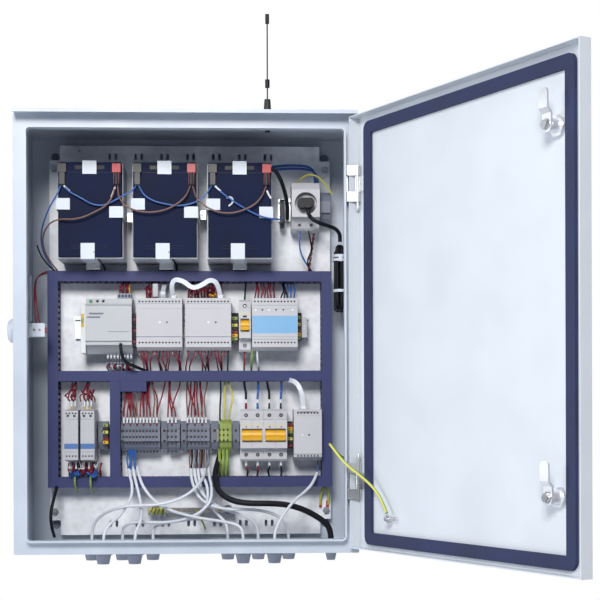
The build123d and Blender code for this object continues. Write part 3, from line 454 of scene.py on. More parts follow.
def screwHeads(name, spots, radius):
    # slotted heads: a disc with a dark bar of painted shade across it for the slot
    discs(name, "boltSteel", spots, radius, 1.6)
    bm = bmesh.new()
    for x, depth, z in spots:
        block(bm, x - radius * 0.85, x + radius * 0.85, depth, depth + 0.95, z - 0.25, z + 0.25)
    place(f"{name}Slots", bm, "holeShadeAndDarkMarks")


# cords and wires
def spline(data, route):
    line = data.splines.new("NURBS")
    line.points.add(len(route) - 1)
    for point, spot in zip(line.points, route):
        point.co = (*at(*spot), 1)
    line.order_u = 3
    line.use_endpoint_u = True


def newCurve(name, routes, diameter, sides=3, steps=6):
    data = bpy.data.curves.new(name, "CURVE")
    data.dimensions = "3D"
    data.bevel_depth = diameter / 2 * millimetre
    data.bevel_resolution = sides
    data.resolution_u = steps
    data.use_fill_caps = True
    for route in routes:
        spline(data, route)
    piece = bpy.data.objects.new(name, data)
    scene.collection.objects.link(piece)
    return piece


def centreLine(name, route, steps=12):
    # points along the route's own smooth line
    bare = newCurve(f"{name}Line", [route], 0, 0, steps)
    mesh = bpy.data.meshes.new_from_object(bare)
    points = [vertex.co.copy() for vertex in mesh.vertices]
    bpy.data.objects.remove(bare)
    bpy.data.meshes.remove(mesh)
    return points


def lengthOf(points):
    return sum((b - a).length for a, b in zip(points, points[1:]))


def cord(name, route, diameter, look, node):
    piece = newCurve(name, [route], diameter, 4, 12)
    piece.data.materials.append(finish(look))
    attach(piece, home)
    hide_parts(node)
    lengthOf(centreLine(name, route))
    return piece


def wires(name, look, routes, diameter=1.9):
    piece = newCurve(name, routes, diameter, 2, 5)
    material = stripedWire() if look == "earthWire" else finish(look)
    piece.data.materials.append(material)
    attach(piece, home)
    return piece


signalRoutes = [
    [
        (-95, 56, -198), (-93, 66, -210), (-88, 78, -224), (-88, 90, -242), (-96, 106, -258),
        (-107, 122, -272), (-119, 137, -282), (-126.25, 145, -295), (-126.25, 145, -309),
    ],
    [
        (-88.5, 56, -198), (-86, 66, -210), (-81, 79, -226), (-75, 94, -247), (-71, 113, -267),
        (-73, 131, -281), (-79.75, 145, -294), (-79.75, 145, -309),
    ],
    [
        (-82, 56, -198), (-79, 66, -210), (-71, 80, -229), (-54, 92, -249), (-31, 103, -262),
        (-6, 113, -269), (20, 122, -274), (45, 132, -277), (66, 141, -280), (78, 144, -286),
        (81.25, 145, -297), (81.25, 145, -309),
    ],
    [
        (1, 56, -198), (1, 66, -210), (5, 78, -226), (14, 87, -245), (33, 94, -257), (60, 98, -262),
        (92, 97, -262), (120, 92, -266), (140, 85, -276), (151, 80, -292), (151, 80, -309),
    ],
    [
        (6.4, 56, -198), (6.8, 66, -210), (12, 74, -229), (28, 79, -250), (52, 83, -263),
        (77, 85, -270), (97, 83.5, -280), (104.5, 80, -294), (104.5, 80, -309),
    ],
    [
        (11.8, 56, -198), (12.5, 66, -210), (17, 69, -230), (27, 71, -252), (42, 75, -270),
        (54, 79, -282), (58, 80, -295), (58, 80, -309),
    ],
    [
        (17.2, 56, -198), (18, 66, -210), (26, 76, -224), (28, 84, -240), (26, 84.5, -256),
        (15, 89, -269), (-2, 93, -277), (-21, 93, -280), (-42, 87, -283), (-53.5, 82, -288),
        (-56.5, 80, -298), (-56.5, 80, -309),
    ],
    [
        (28, 56, -198), (29, 68, -210), (34, 90, -228), (33, 103, -249), (17, 107, -266),
        (-8, 104, -277), (-35, 101, -281), (-63, 98, -281), (-87, 91, -281), (-100, 83, -287),
        (-103, 80, -298), (-103, 80, -309),
    ],
    [
        (22.6, 56, -198), (22, 70, -210), (16, 92, -221), (2, 108, -236), (-22, 117, -248),
        (-52, 118, -254), (-78, 119, -254), (-100, 115, -256), (-121, 104, -262), (-140, 90, -274),
        (-149.5, 80, -291), (-149.5, 80, -309),
    ],
    [
        (196, 65, -208), (190, 80, -222), (176, 92, -236), (161, 110, -246),
        (147, 127, -261), (135, 139, -278), (127.75, 145, -294), (127.75, 145, -309),
    ],
]
mainsRoute = [
    (46, 47, -180), (40, 69, -199), (38, 88, -218), (45, 103, -236), (64, 113, -248), (89, 116, -252),
    (118, 114, -252), (147, 110, -254), (174, 105, -262), (197, 102, -275), (215, 100, -290),
    (215, 100, -309),
]
plugLeadRoute = [
    (182, 92, 197.4), (182, 92, 190), (188, 97, 180), (200, 96, 174), (213, 87, 171.5), (225, 75, 169),
    (232, 66, 163), (233, 62, 155), (233, 62, 150),
]
batteryLeadRoute = [
    (125.2, 118.4, 253), (130, 118.4, 252), (137, 113, 244), (143, 101, 232), (148, 86, 219),
    (151, 70, 207), (152, 55, 196), (152, 42, 188),
]
strapRoute = [
    (237, 156, -180), (233, 168, -184), (226, 182, -181), (216, 197, -172), (208, 209, -163),
    (206, 220, -161), (211, 228, -168), (219, 234, -179), (230, 239, -192), (247, 248, -205),
    (262, 260, -219), (271, 270, -231), (277, 281, -244), (281, 290, -257),
]
cords = {"signal": 4.6, "mains": 9, "lead": 6, "strap": 4, "hankWidth": 7.2, "hankPlace": (233, 62)}


def makeCords():
    for number, route in enumerate(signalRoutes, 1):
        cord(f"signalCable{number}", route, cords["signal"], "sheathWhite", "signal_cables")
    cord("mainsCable", mainsRoute, cords["mains"], "sheathBlack", "mains_cable")
    cord("plugLead", plugLeadRoute, cords["lead"], "sheathBlack", "black_leads")
    cord("batteryLead", batteryLeadRoute, cords["lead"], "sheathBlack", "black_leads")
    makeHank()
    makeStrap()


def makeHank():
    # the spare plug lead, folded into long loops and tied
    x, depth = cords["hankPlace"]
    routes = []
    for turn, (low, high) in enumerate(((41, 138), (44.5, 141.5), (48, 145))):
        angle = math.radians(60 * turn + 12)
        dx, dy = cords["hankWidth"] * math.cos(angle), cords["hankWidth"] * math.sin(angle)
        side = [(x + dx, depth + dy, z) for z in (low + 12, (low + high) / 2, high - 12)]
        back = [(x - dx, depth - dy, z) for z in (high - 12, (low + high) / 2, low + 12)]
        over = [(x + dx, depth + dy, high - 2), (x - dx, depth - dy, high - 2)]
        under = [(x - dx, depth - dy, low + 2), (x + dx, depth + dy, low + 2)]
        routes.append(side + over + back + under + [side[0]])
    hank = newCurve("leadHank", routes, cords["lead"] - 0.6, 3, 8)
    hank.data.materials.append(finish("sheathBlack"))
    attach(hank, home)
    bm = bmesh.new()
    for z in (128, 122, 74):
        bmesh.ops.create_cone(
            bm, cap_ends=False, segments=28, radius1=0.01075, radius2=0.01075, depth=0.0042,
            matrix=Matrix.Translation(at(x, depth, z)),
        )
    for edge in [edge for edge in bm.edges if edge.is_boundary]:
        edge.seam = True
    bmesh.ops.solidify(bm, geom=bm.faces[:], thickness=-0.0006)
    block(bm, x - 3, x + 3, depth + 8.5, depth + 12.5, 119, 126, 0.5)
    place("hankTies", bm, "clipNylon")


def makeStrap():
    # the door's earth conductor bends between cabinet and door
    bare = newCurve("strapShape", [strapRoute], cords["strap"], 4, 14)
    mesh = bpy.data.meshes.new_from_object(bare)
    bpy.data.objects.remove(bare)
    strap = bpy.data.objects.new("earthStrap", mesh)
    scene.collection.objects.link(strap)
    mesh.materials.clear()
    mesh.materials.append(stripedWire())
    path = centreLine("strap", strapRoute, 14)
    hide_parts("earth_strap")
    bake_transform(strap)


def evenly(centre, step, count):
    return [centre + (number - (count - 1) / 2) * step for number in range(count)]


def ribbon(name, look, route, width, thickness):
    # flat cable: a band that follows its route, turned to the front
    points = centreLine(name, route, 8)
    bm = bmesh.new()
    rows = []
    for number, point in enumerate(points):
        run = points[min(number + 1, len(points) - 1)] - points[max(number - 1, 0)]
        across = Vector((run.z, 0, -run.x)).normalized() * width / 2 * millimetre
        deep = Vector((0, thickness / 2 * millimetre, 0))
        corners = (point - across - deep, point + across - deep, point + across + deep, point - across + deep)
        rows.append([bm.verts.new(corner) for corner in corners])
    for a, b in zip(rows, rows[1:]):
        for side in range(4):
            bm.faces.new((a[side], a[(side + 1) % 4], b[(side + 1) % 4], b[side]))
    bm.faces.new(rows[0][::-1])
    bm.faces.new(rows[-1])
    place(name, bm, look)


# where loose wires enter the ducts: depth and height
ductEdges = {"upper": (34, 90), "middleTop": (36, -50), "middleBottom": (36, -64), "lower": (36, -214)}


def fan(name, look, starts, near, far, stray=1.4, bunch=1, diameter=2.3):
    # hook-up wires between two (depth, z) rows, gathered in bunches, each with its own slack
    routes = []
    for number, x in enumerate(starts):
        first = number - number % bunch
        group = starts[first:first + bunch]
        end = x + (sum(group) / len(group) - x) * 0.62 + chance.uniform(-stray, stray) * 0.6
        routes.append([
            (x, near[0], near[1]),
            (x + chance.uniform(-0.4, 0.4), near[0] + 2, near[1] * 0.84 + far[1] * 0.16),
            ((x + end) / 2 + chance.uniform(-stray, stray), max(near[0], far[0]) + chance.uniform(1, 7),
             (near[1] + far[1]) / 2 + chance.uniform(-2, 2)),
            (end + chance.uniform(-1, 1), far[0] + 6, near[1] * 0.15 + far[1] * 0.85),
            (end, far[0], far[1]),
        ])
    wires(name, look, routes, diameter)


def tangle(name, look, left, right, near, far, low, high, count, diameter=1.8):
    # short curled ends crowded into one place
    routes = []
    for number in range(count):
        x = chance.uniform(left, right)
        reach = (high - low) / 4
        route = [(x, near, high if number % 2 else low)]
        for _ in range(3):
            side = min(right, max(left, x + chance.uniform(-7, 7)))
            depth = chance.uniform(near, far)
            route.append((side, depth, low + reach * chance.uniform(0.4, 3.6)))
        route.append((x + chance.uniform(-3, 3), near, low if number % 2 else high))
        routes.append(route)
    wires(name, look, routes, diameter)


def sleeves(name, look, starts, depth, low, high, width=2.6):
    # plastic ferrule collars round the wire ends
    middle = (low + high) / 2
    spots = [(x, depth, middle) for x in starts]
    discs(name, look, spots, width / 2, high - low, 10, (0, 0, 1), width * 0.36)


def marks(name, look, boxes):
    # thin printed or moulded flats: left, right, face depth, bottom, top
    bm = bmesh.new()
    for left, right, depth, bottom, top in boxes:
        block(bm, left, right, depth - 0.3, depth + 0.25, bottom, top, 0.1)
    place(name, bm, look)


# holes in the wall behind the plate's notches
wallPlugs = {"x": 212.5, "z": 290, "head": 6.6, "pin": 4.3}


def makeWallPlugs():
    bm = bmesh.new()
    for side in (-1, 1):
        for end in (-1, 1):
            centre = (side * wallPlugs["x"], 2.3, end * wallPlugs["z"])
            drum(bm, centre, (0, -1, 0), wallPlugs["head"], 1.5, 24, wallPlugs["head"] - 0.8)
            drum(bm, (centre[0], 0.8, centre[2]), (0, -1, 0), wallPlugs["pin"], 1.5, 24)
    place("wallPlugs", bm, "terminalPlastic")
    # near-black strips behind the top of the plate: painted shade
    blocks("plateBackShade", "holeShadeAndDarkMarks", [(-136, -96, 6, 8, 264, 282), (-92, 116, 6, 8, 264, 282)], 0.4)


supply = {
    "left": -157.5, "right": -87.5, "face": 88, "shoulder": 80,
    "knobRow": 56, "ledX": -150, "knobs": (-140, -131),
    "bars": ((-152, -130, 35.6, 38.2), (-155, -135, 30.2, 32.6)),
    "strip": (-166, -158.2, 40, 78, -23, 53), "jumper": (-165, -161, 78.2, 79.6),
    "pitch": 5.08, "outputCentre": -99.5, "inputCentre": -107.5, "plugFront": 70,
    "stack": (-87, -82, 44, 70), "stackLow": -13, "stackPitch": 5.7, "contact": 5.2,
}


def makeSupply():
    left, right, face, shoulder = (supply[key] for key in ("left", "right", "face", "shoulder"))
    x, z = supply["ledX"], supply["knobRow"]
    discs("supplyLedRing", "connectorBlack", [(x, shoulder + 0.4, z)], 2.4, 0.8, 20)
    discs("supplyLed", "ledGreen", [(x, shoulder + 1.0, z)], 1.3, 0.8, 16)
    discs("supplyTrimmers", "holeShadeAndDarkMarks", [(x, shoulder - 2.2, z) for x in supply["knobs"]], 2.0, 1.2, 18)
    marks("supplyBars", "terminalPlastic", [
        (start, end, face + 0.3, low, high) for start, end, low, high in supply["bars"]
    ])
    marks("supplyLines", "connectorBlack", [
        (left + 1, right - 1, shoulder, -8.8, -7.9), (-124, -92, face, 9.2, 9.7),
    ])
    blocks("supplySideStrip", "labelWhite", [supply["strip"]], 0.8)
    blocks("supplySideYellow", "yellowLever", [(*supply["jumper"], z, z + 6) for z in (17, 31)])
    blocks("supplySideGreen", "earthGreen", [(*supply["jumper"], 24, 30)])
    xs = evenly(supply["outputCentre"], supply["pitch"], 4)
    blocks("supplyOutputPlug", "glandGrey", [(-110, -89, 52, 74, 61, 69)], 0.8)
    marks("supplyOutputSlots", "holeShadeAndDarkMarks", [(x - 1.4, x + 1.4, 74, 63, 67) for x in xs])
    fan("supplyRedLeads", "wireRed", xs[:3], (62, 69), ductEdges["upper"], 2.4)
    fan("supplyYellowLead", "yellowLever", xs[3:], (62, 69), ductEdges["upper"], 2.0)
    low = evenly(supply["inputCentre"], supply["pitch"], 8)
    front = supply["plugFront"]
    blocks("supplyInputPlugs", "glandGrey", [(x - 2, x + 2, 50, front, -38.5, -24.2) for x in low], 0.5)
    marks("supplyInputSlots", "labelWhite", [(x - 1.2, x + 1.2, front, -29, -26.4) for x in low])
    marks("supplyInputEntries", "holeShadeAndDarkMarks", [(x - 1.5, x + 1.5, front, -36.6, -31.4) for x in low])
    fan("supplyDarkLeads", "wireRed", low[::2], (62, -38), (34, -50), 2.4)
    fan("supplyGreyLeads", "sheathWhite", low[1::2], (62, -38), ductEdges["middleTop"], 2.4)
    tangle("supplyCurls", "wireRed", -126, -90, 50, 70, -49, -37, 5)
    tangle("supplyWhiteCurls", "labelWhite", -126, -88, 50, 70, -49, -37, 5)
    tangle("supplyOutputCurls", "wireRed", -108, -92, 44, 66, 70, 86, 4, 2.2)
    wires("supplyCable", "sheathBlack", [
        [(-104, 89.5, -9), (-104, 93, -22), (-98, 88, -37), (-84, 80, -43), (-69, 44, -49)],
    ], 5)
    stack = {"connectorBlack": [], "wireRed": []}
    for step in range(9):
        z = supply["stackLow"] + step * supply["stackPitch"]
        look = "wireRed" if step % 3 == 1 else "connectorBlack"
        stack[look].append((*supply["stack"], z, z + supply["contact"]))
    for look, boxes in stack.items():
        blocks(f"supplyStack{look}", look, boxes, 0.5)


controllers = {
    "centres": (-45.7, 28.8), "faces": (83, 83), "shoulder": 82, "pitch": 5.08, "count": 13, "rows": (56, -7),
    "ledge": (53.2, 1.6), "lampRow": 24, "ledOffset": 0.7, "dotOffset": 11.7, "half": 34,
}


def makeControllers():
    shoulder, half = controllers["shoulder"], controllers["half"]
    lights, dots, lines, heads, lower = [], [], [], [], []
    for centre, face in zip(controllers["centres"], controllers["faces"]):
        z = controllers["lampRow"]
        lights.append((centre + controllers["ledOffset"], face + 0.2, z))
        dots.append((centre + controllers["dotOffset"], face + 0.2, z))
        for z in controllers["ledge"]:
            lines.append((centre - half, centre + half, shoulder, z - 0.35, z + 0.35))
        for x in evenly(centre, controllers["pitch"], controllers["count"]):
            for z in controllers["rows"]:
                heads.append((x, shoulder - 3.4, z))
            lower.append(x)
    discs("controllerLights", "labelWhite", lights, 1.9, 0.8, 20)
    discs("controllerDots", "holeShadeAndDarkMarks", dots, 1.3, 0.8, 16)
    marks("controllerLines", "glandGrey", lines)
    discs("controllerHoles", "holeShadeAndDarkMarks", heads, 1.32, 0.8, 12)
    wired = [x for x in lower if chance.random() < 0.88]
    white = [x for number, x in enumerate(wired) if number % 4 != 2]
    sleeves("controllerFerrules", "labelWhite", white, 66, -24.5, -18.7, 3.0)
    dark = [x for number, x in enumerate(wired) if number % 6 == 5]
    fan("controllerWires", "wireRed", [x for x in wired if x not in dark], (66, -19), (36, -50.5), 5, 4)
    fan("controllerDarkWires", "sheathBlack", dark, (66, -19), (36, -50.5), 3.5)
    fed = [x for x in lower if (-70 < x < -55) or (-2 < x < 50)]
    sleeves("controllerUpperFerrules", "yellowLever", fed[:3], 62, 61.2, 66, 2.8)
    sleeves("controllerUpperWhites", "labelWhite", fed[3:], 62, 61.2, 65.5, 2.8)
    fan("controllerUpperWires", "wireRed", fed, (62, 62), ductEdges["upper"], 3.4, 3)
    tangle("controllerCurls", "wireRed", -1, 42, 46, 80, 63, 80, 11, 2.2)
    tangle("controllerDarkCurls", "sheathBlack", 2, 38, 46, 74, 63, 80, 5, 2.2)
    tangle("controllerYellowCurls", "yellowLever", 30, 42, 60, 78, 63, 69, 3, 2.2)
    tangle("controllerLeftCurls", "wireRed", -72, -58, 44, 76, 63, 82, 4, 2.2)


ribbons = {"width": 7, "thickness": 1.1}


def makeRibbons():
    width, thickness = ribbons["width"], ribbons["thickness"]
    ribbon("screenRibbon", "sheathWhite", [
        (-24, 70, 62), (-27.5, 88, 76), (-23, 94, 89), (-8, 95, 86), (5, 96, 74.5), (19, 96, 79),
        (33, 95, 89), (45, 91, 82), (47.5, 70, 63),
    ], width, thickness)
    ribbon("shortRibbon", "sheathWhite", [
        (-40, 68, 61), (-40.5, 78, 69), (-40, 66, 76), (-39.5, 40, 88),
    ], width, thickness)
    blocks("ribbonPlug", "relayPlastic", [(-56.5, -47.5, 58, 76, 63, 84)], 1.6)
    blocks("ribbonFeet", "labelWhite", [(x, x + 8, 62, 75, 60.8, 66.5) for x in (-28, 43.5)], 0.7)
    ribbon("radioRibbon", "sheathWhite", [
        (146, 40, -62), (155, 66, -64), (164, 74, -68), (171, 78, -80), (174, 74, -94), (174.5, 68, -108.5),
    ], width, thickness)
    blocks("radioPlug", "labelWhite", [(170, 179, 60, 75, -109.6, -104)], 0.7)


def cups(name, spots):
    # sunk terminal screws: a near-black disc of painted shade at the bottom of the well, with a small head in
    # it
    discs(f"{name}Wells", "holeShadeAndDarkMarks", [(x, depth - 4.4, z) for x, depth, z in spots], 2.9, 0.6, 18)
    screwHeads(f"{name}Screws", [(x, depth - 3.4, z) for x, depth, z in spots], 1.5)


# columns of small coloured contact blocks between the modules
stacks = (
    (65.2, 74, -8, 39, 64),
    (166.2, 171.4, -1, 39, 60),
    (-134.4, -126, -162, -130, 60),
    (150.8, 158.8, -168, -130, 60),
)
stackLooks = ("connectorBlack", "earthGreen", "yellowLever", "wireRed", "connectorBlack", "earthYellow")


def makeStacks():
    pitch, gap = 5.3, 0.5
    boxes = {look: [] for look in stackLooks}
    slots = []
    for number, (left, right, low, high, depth) in enumerate(stacks):
        z = low
        step = number
        while z + pitch < high:
            look = stackLooks[step % len(stackLooks)]
            boxes[look].append((left, right, 42, depth - 2 * (step % 2), z, z + pitch - gap))
            slots.append((left + 1.6, left + 4, depth + 0.1 - 2 * (step % 2), z + 1.3, z + 3.4))
            z += pitch
            step += 1
    for look, group in boxes.items():
        blocks(f"stack{look}", look, group, 0.45)
    marks("stackSlots", "holeShadeAndDarkMarks", slots)


meter = {
    "centre": 131, "half": 34.3, "face": 83, "shoulder": 82, "band": (7, 34), "ledges": (50, -2),
    "lampRow": 43, "lamps": (101.5, 122.5, 158.4), "dots": (112, 133, 144),
    "pitch": 5.08, "ways": 13, "screwRows": (56, -7), "entry": (62, 61),
}


def makeMeter():
    centre, half, face = meter["centre"], meter["half"], meter["face"]
    low, high = meter["band"]
    shoulder = meter["shoulder"]
    marks("meterBand", "bandBlue", [(centre - half, centre + half, face, low, high)])
    z = meter["lampRow"]
    discs("meterLights", "labelWhite", [(x, face + 0.2, z) for x in meter["lamps"]], 1.7, 0.8, 18)
    discs("meterDots", "holeShadeAndDarkMarks", [(x, face + 0.2, z) for x in meter["dots"]], 1.3, 0.8, 16)
    marks("meterLines", "glandGrey", [
        (centre - half, centre + half, shoulder, z - 0.3, z + 0.3) for z in meter["ledges"]
    ])
    xs = evenly(centre, meter["pitch"], meter["ways"])
    discs("meterHoles", "holeShadeAndDarkMarks", [
        (x, shoulder - 3.2, z) for x in xs for z in meter["screwRows"]
    ], 1.32, 0.8, 12)
    fan("meterRedWires", "wireRed", xs[:7], meter["entry"], ductEdges["upper"], 3.6, 2)
    fan("meterBlueWires", "wireBlue", xs[10:], meter["entry"], ductEdges["upper"], 2.0)
    fan("meterBlackWires", "sheathBlack", xs[8:11], meter["entry"], ductEdges["upper"], 4, 3)
    sleeves("meterFerrules", "labelWhite", xs[::2], 62, 61.2, 66, 2.8)
    wires("meterEarth", "earthWire", [[(97, 64, -18), (96, 72, -30), (95, 60, -42), (95, 36, -50)]], 3.4)
    wires("meterGrey", "sheathWhite", [[(104, 64, -18), (104, 70, -32), (106, 58, -42), (107, 36, -50)]], 3.0)
    blocks("railStop", "relayPlastic", [(172.2, 182, 40, 52, 2, 34)], 0.8)
    screwHeads("railStopScrew", [(177, 52.3, 18)], 2.2)


single = {
    "x": 85, "face": 87.5, "shoulder": 71.5, "screwRows": (50, -11), "line": (36.4, 37.4), "window": (31, 34),
}


def makeSingleBreaker():
    x, face, shoulder = single["x"], single["face"], single["shoulder"]
    marks("singleLine", "earthYellow", [(x - 8.2, x + 8.2, face, *single["line"])])
    marks("singleWindow", "holeShadeAndDarkMarks", [(x - 3, x + 3, face, *single["window"])])
    cups("single", [(x, shoulder, z) for z in single["screwRows"]])
    above = [(x, 62, 60), (x + 0.6, 70, 70), (x + 1.5, 56, 82), (x + 2, 34, 90)]
    below = [(x, 62, -21), (x - 0.4, 68, -32), (x - 1, 56, -43), (x - 1.5, 36, -50)]
    wires("singleTopWire", "sheathBlack", [above], 2.8)
    wires("singleLowWire", "wireRed", [below], 2.8)
    sleeves("singleFerrule", "labelWhite", [x], 62, -28, -21.2, 4.0)


relays = {
    "centres": (-179.5, -154.8), "half": 10.4, "face": 90, "band": (-169, -161), "holeRows": (-115, -180),
    "holes": (-7, -2.4, 2.4, 7), "ledges": (-124, -173.5), "coils": (-6.5, -1.5, 4), "contacts": (-5, 0, 5),
    "collars": (70, -108.6, -104), "ferrules": (70, -104, -94), "lowFerrules": (68, -200, -189.4),
    "knots": ((-183, -168), (-158, -144)),
}


def makeRelays():
    half, face = relays["half"], relays["face"]
    low, high = relays["band"]
    bands, holes, lines, above, below = [], [], [], [], []
    for x in relays["centres"]:
        bands.append((x - half, x + half, face, low, high))
        for z in relays["holeRows"]:
            holes += [(x + step, face + 0.1, z) for step in relays["holes"]]
        lines += [(x - half, x + half, face, z - 0.25, z + 0.25) for z in relays["ledges"]]
        above += [x + step for step in relays["coils"]]
        below += [x + step for step in relays["contacts"]]
    marks("relayBands", "bandDeepBlue", bands)
    discs("relayHoles", "holeShadeAndDarkMarks", holes, 1.25, 0.6, 14)
    marks("relayLines", "glandGrey", lines)
    sleeves("relayTopCollars", "yellowLever", above[1::2], *relays["collars"], 3.0)
    sleeves("relayFerrules", "labelWhite", above, *relays["ferrules"], 2.8)
    fan("relayTopWires", "wireRed", above, (70, -95), (36, -64.5), 9, 3)
    tangle("relayCurls", "wireRed", -198, -145, 44, 72, -96, -78, 9, 2.2)
    sleeves("relayLowCollars", "labelWhite", below[::2], *relays["lowFerrules"], 2.8)
    sleeves("relayLowRed", "wireRed", below[1::2], *relays["lowFerrules"], 2.8)
    for left, right in relays["knots"]:
        tangle(f"relayBlue{-left}", "wireBlue", left, right, 58, 78, -214, -203, 8, 2.6)
    tangle("relayLowCurls", "wireRed", -189, -138, 50, 76, -212, -192, 14, 2.2)
    tangle("relayLowWhites", "labelWhite", -189, -142, 56, 76, -203, -190, 7, 2.0)
    fan("relayLowWires", "wireRed", below[1::3], (66, -199), (64, -206), 1.0)
    wires("relayEarths", "earthWire", [
        [(-176, 68, -212), (-176, 74, -220), (-175, 66, -231), (-173, 52, -236)],
        [(-152, 68, -212), (-152, 75, -222), (-151, 67, -233), (-149, 52, -238)],
    ], 3.2)


terminals = {
    "groups": ((-102, 5.08, 11), (-34, 6.1, 3), (-4, 5.7, 6)), "face": 65,
    "clamps": (-134.8, -105.2, -40, -9.9, 37.9, 70.7), "clampRows": (-142, -158), "wired": (58, -122),
    "cores": {"wireBrown": (0, 8, 15, 21), "sheathBlack": (3, 11, 18), "glandGrey": (5.5, 13, 24, 27)},
    "clampDepth": 52, "row": -149, "holeRows": ((65, -142.4), (65, -151.4), (62.9, -160.4), (50, -174)),
    "ferrules": (58, -130, -118.5), "tips": (59, -133.6, -130), "lowEntry": (52, -172), "sheaths": (58, -201),
    "blueCores": (-90, 2.3, 6),
}


def makeTerminals():
    face, row = terminals["face"], terminals["row"]
    every, holes, bridges = [], [], []
    for first, step, count in terminals["groups"]:
        xs = [first + number * step for number in range(count)]
        every += xs
        for x in xs:
            holes += [(x - 1.6, x + 1.6, depth, z - 1.7, z + 1.7) for depth, z in terminals["holeRows"]]
            bridges.append((x - step / 2 + 0.15, x - step / 2 + 0.45, face, row - 8.6, row + 8.6))
    marks("terminalHoles", "holeShadeAndDarkMarks", holes)
    marks("terminalGaps", "connectorBlack", bridges)
    sleeves("terminalFerrules", "labelWhite", every, *terminals["ferrules"], 3.2)
    sleeves("terminalTips", "wireRed", every[::2], *terminals["tips"], 3.0)
    dark = every[4::5]
    red = [x for x in every if x not in dark]
    fan("terminalWires", "wireRed", red, terminals["wired"], ductEdges["middleBottom"], 4.5, 4)
    fan("terminalDarkWires", "wireBrown", dark, terminals["wired"], ductEdges["middleBottom"], 5)
    extra = [x + chance.uniform(-2, 2) for x in every[::2]]
    fan("terminalBackWires", "wireRed", extra, (50, -118), (32, -64), 6, 3)
    discs("clampScrews", "holeShadeAndDarkMarks", [
        (x, terminals["clampDepth"] + 0.1, z) for x in terminals["clamps"] for z in terminals["clampRows"]
    ], 2.1, 0.6, 18)
    entry, sheaths = terminals["lowEntry"], terminals["sheaths"]
    fan("coreBlues", "wireBlue", evenly(*terminals["blueCores"]), entry, sheaths, 2.0, 2, 2.3)
    for look, tops in terminals["cores"].items():
        fan(f"core{look}", look, tops, entry, sheaths, 1.6, 1, 2.2)
    wires("coreRight", "wireBlue", [[(198, 48, -190), (197, 60, -198), (196, 65, -211)]], 2.2)


earthBlocks = {
    "xs": (45.6, 51.8, 58), "face": 65, "holeRows": (-141, -149, -157), "tails": (45.5, 51.5, 57.5),
}


def makeEarthBlocks():
    face = earthBlocks["face"]
    marks("earthHoles", "holeShadeAndDarkMarks", [
        (x - 1.5, x + 1.5, face, z - 1.4, z + 1.4) for x in earthBlocks["xs"] for z in earthBlocks["holeRows"]
    ])
    marks("earthStripes", "earthYellow", [
        (x - 2.7, x - 2.0, face, -157.8, -140.2) for x in earthBlocks["xs"]
    ])
    wires("earthTails", "earthWire", [
        [(x, 54, -172), (x + 0.5, 64, -186), (x - 0.5, 60, -202), (x, 40, -215)] for x in earthBlocks["tails"]
    ], 4.6)
    wires("earthUppers", "earthWire", [
        [(60, 54, -126), (62, 68, -108), (67, 70, -92), (63, 58, -78), (58, 36, -64)],
        [(52, 54, -126), (53, 64, -105), (54, 54, -82), (54, 36, -64)],
    ], 3.0)
    wires("earthBlack", "sheathBlack", [[(46, 54, -126), (46, 66, -108), (48, 62, -84), (47, 36, -64)]], 2.6)


breakers = {
    "centres": (95.4, 131.4), "pole": 8.95, "face": 87.5, "shoulder": 71.5, "half": 17.7,
    "screwRows": (-118.5, -179.5), "line": (-133, -132), "dotRow": -136.4, "seam": (-168, -127),
    "ferrules": (60, -99.5, -89), "tips": (60, -108.6, -99.5), "lowFerrules": (60, -199, -189.3),
    "topWires": ("sheathBlack", "wireBlue", "sheathBlack", "wireBlue"),
}


def makeBreakers():
    face, shoulder, half = breakers["face"], breakers["shoulder"], breakers["half"]
    poles = [centre + side * breakers["pole"] for centre in breakers["centres"] for side in (-1, 1)]
    marks("breakerLines", "earthYellow", [
        (x - half, x + half, face, *breakers["line"]) for x in breakers["centres"]
    ])
    discs("breakerDots", "wireRed", [(x, face + 0.1, breakers["dotRow"]) for x in poles], 1.1, 0.6, 12)
    cups("breaker", [(x, shoulder, z) for x in poles for z in breakers["screwRows"]])
    marks("breakerSeams", "glandGrey", [
        (x - 0.2, x + 0.2, face, *breakers["seam"]) for x in breakers["centres"]
    ])
    sleeves("breakerFerrules", "labelWhite", poles, *breakers["ferrules"], 4.6)
    sleeves("breakerRedTips", "wireRed", poles[:1], *breakers["tips"], 4.4)
    sleeves("breakerBlueTips", "wireBlue", poles[1:2], *breakers["tips"], 4.4)
    sleeves("breakerDarkTips", "connectorBlack", poles[2:], *breakers["tips"], 3.6)
    for number, (x, look) in enumerate(zip(poles, breakers["topWires"]), 1):
        lean = x - 2.5 if number % 2 else x + 1.5
        route = [(x, 60, -94), (x + 0.4, 66, -84), (lean, 58, -73), (lean, 36, -64)]
        wires(f"breakerTopWire{number}", look, [route], 3.6)
    sleeves("breakerLowFerrules", "labelWhite", poles, *breakers["lowFerrules"], 4.2)
    fan("breakerLowWires", "wireRed", poles[:2], (60, -196), ductEdges["lower"], 3.0, diameter=3.0)
    fan("breakerLowDark", "sheathBlack", poles[2:], (60, -196), ductEdges["lower"], 3.0, diameter=3.0)


radio = {
    "x": 181.2, "face": 82, "lampRow": -149, "lamp": 173, "dot": 183, "holeRows": (-115, -181), "pitch": 5.08,
}


def makeRadio():
    x, face = radio["x"], radio["face"]
    discs("radioLight", "labelWhite", [(radio["lamp"], face + 0.2, radio["lampRow"])], 1.5, 0.8, 18)
    discs("radioDot", "holeShadeAndDarkMarks", [(radio["dot"], face + 0.2, radio["lampRow"])], 1.4, 0.8, 16)
    holes = evenly(x, radio["pitch"], 7)
    discs("radioHoles", "holeShadeAndDarkMarks", [
        (spot, face + 0.1, z) for spot in holes for z in radio["holeRows"]
    ], 1.3, 0.6, 14)


earthBar = {
    "centre": 1.5, "z": -265.5, "face": 46, "pitch": 8, "screws": 14,
    "coilStart": -64, "coilPitch": 5.5, "turns": 4, "bracket": (-48, 69, 20, 22, -283, -269),
}


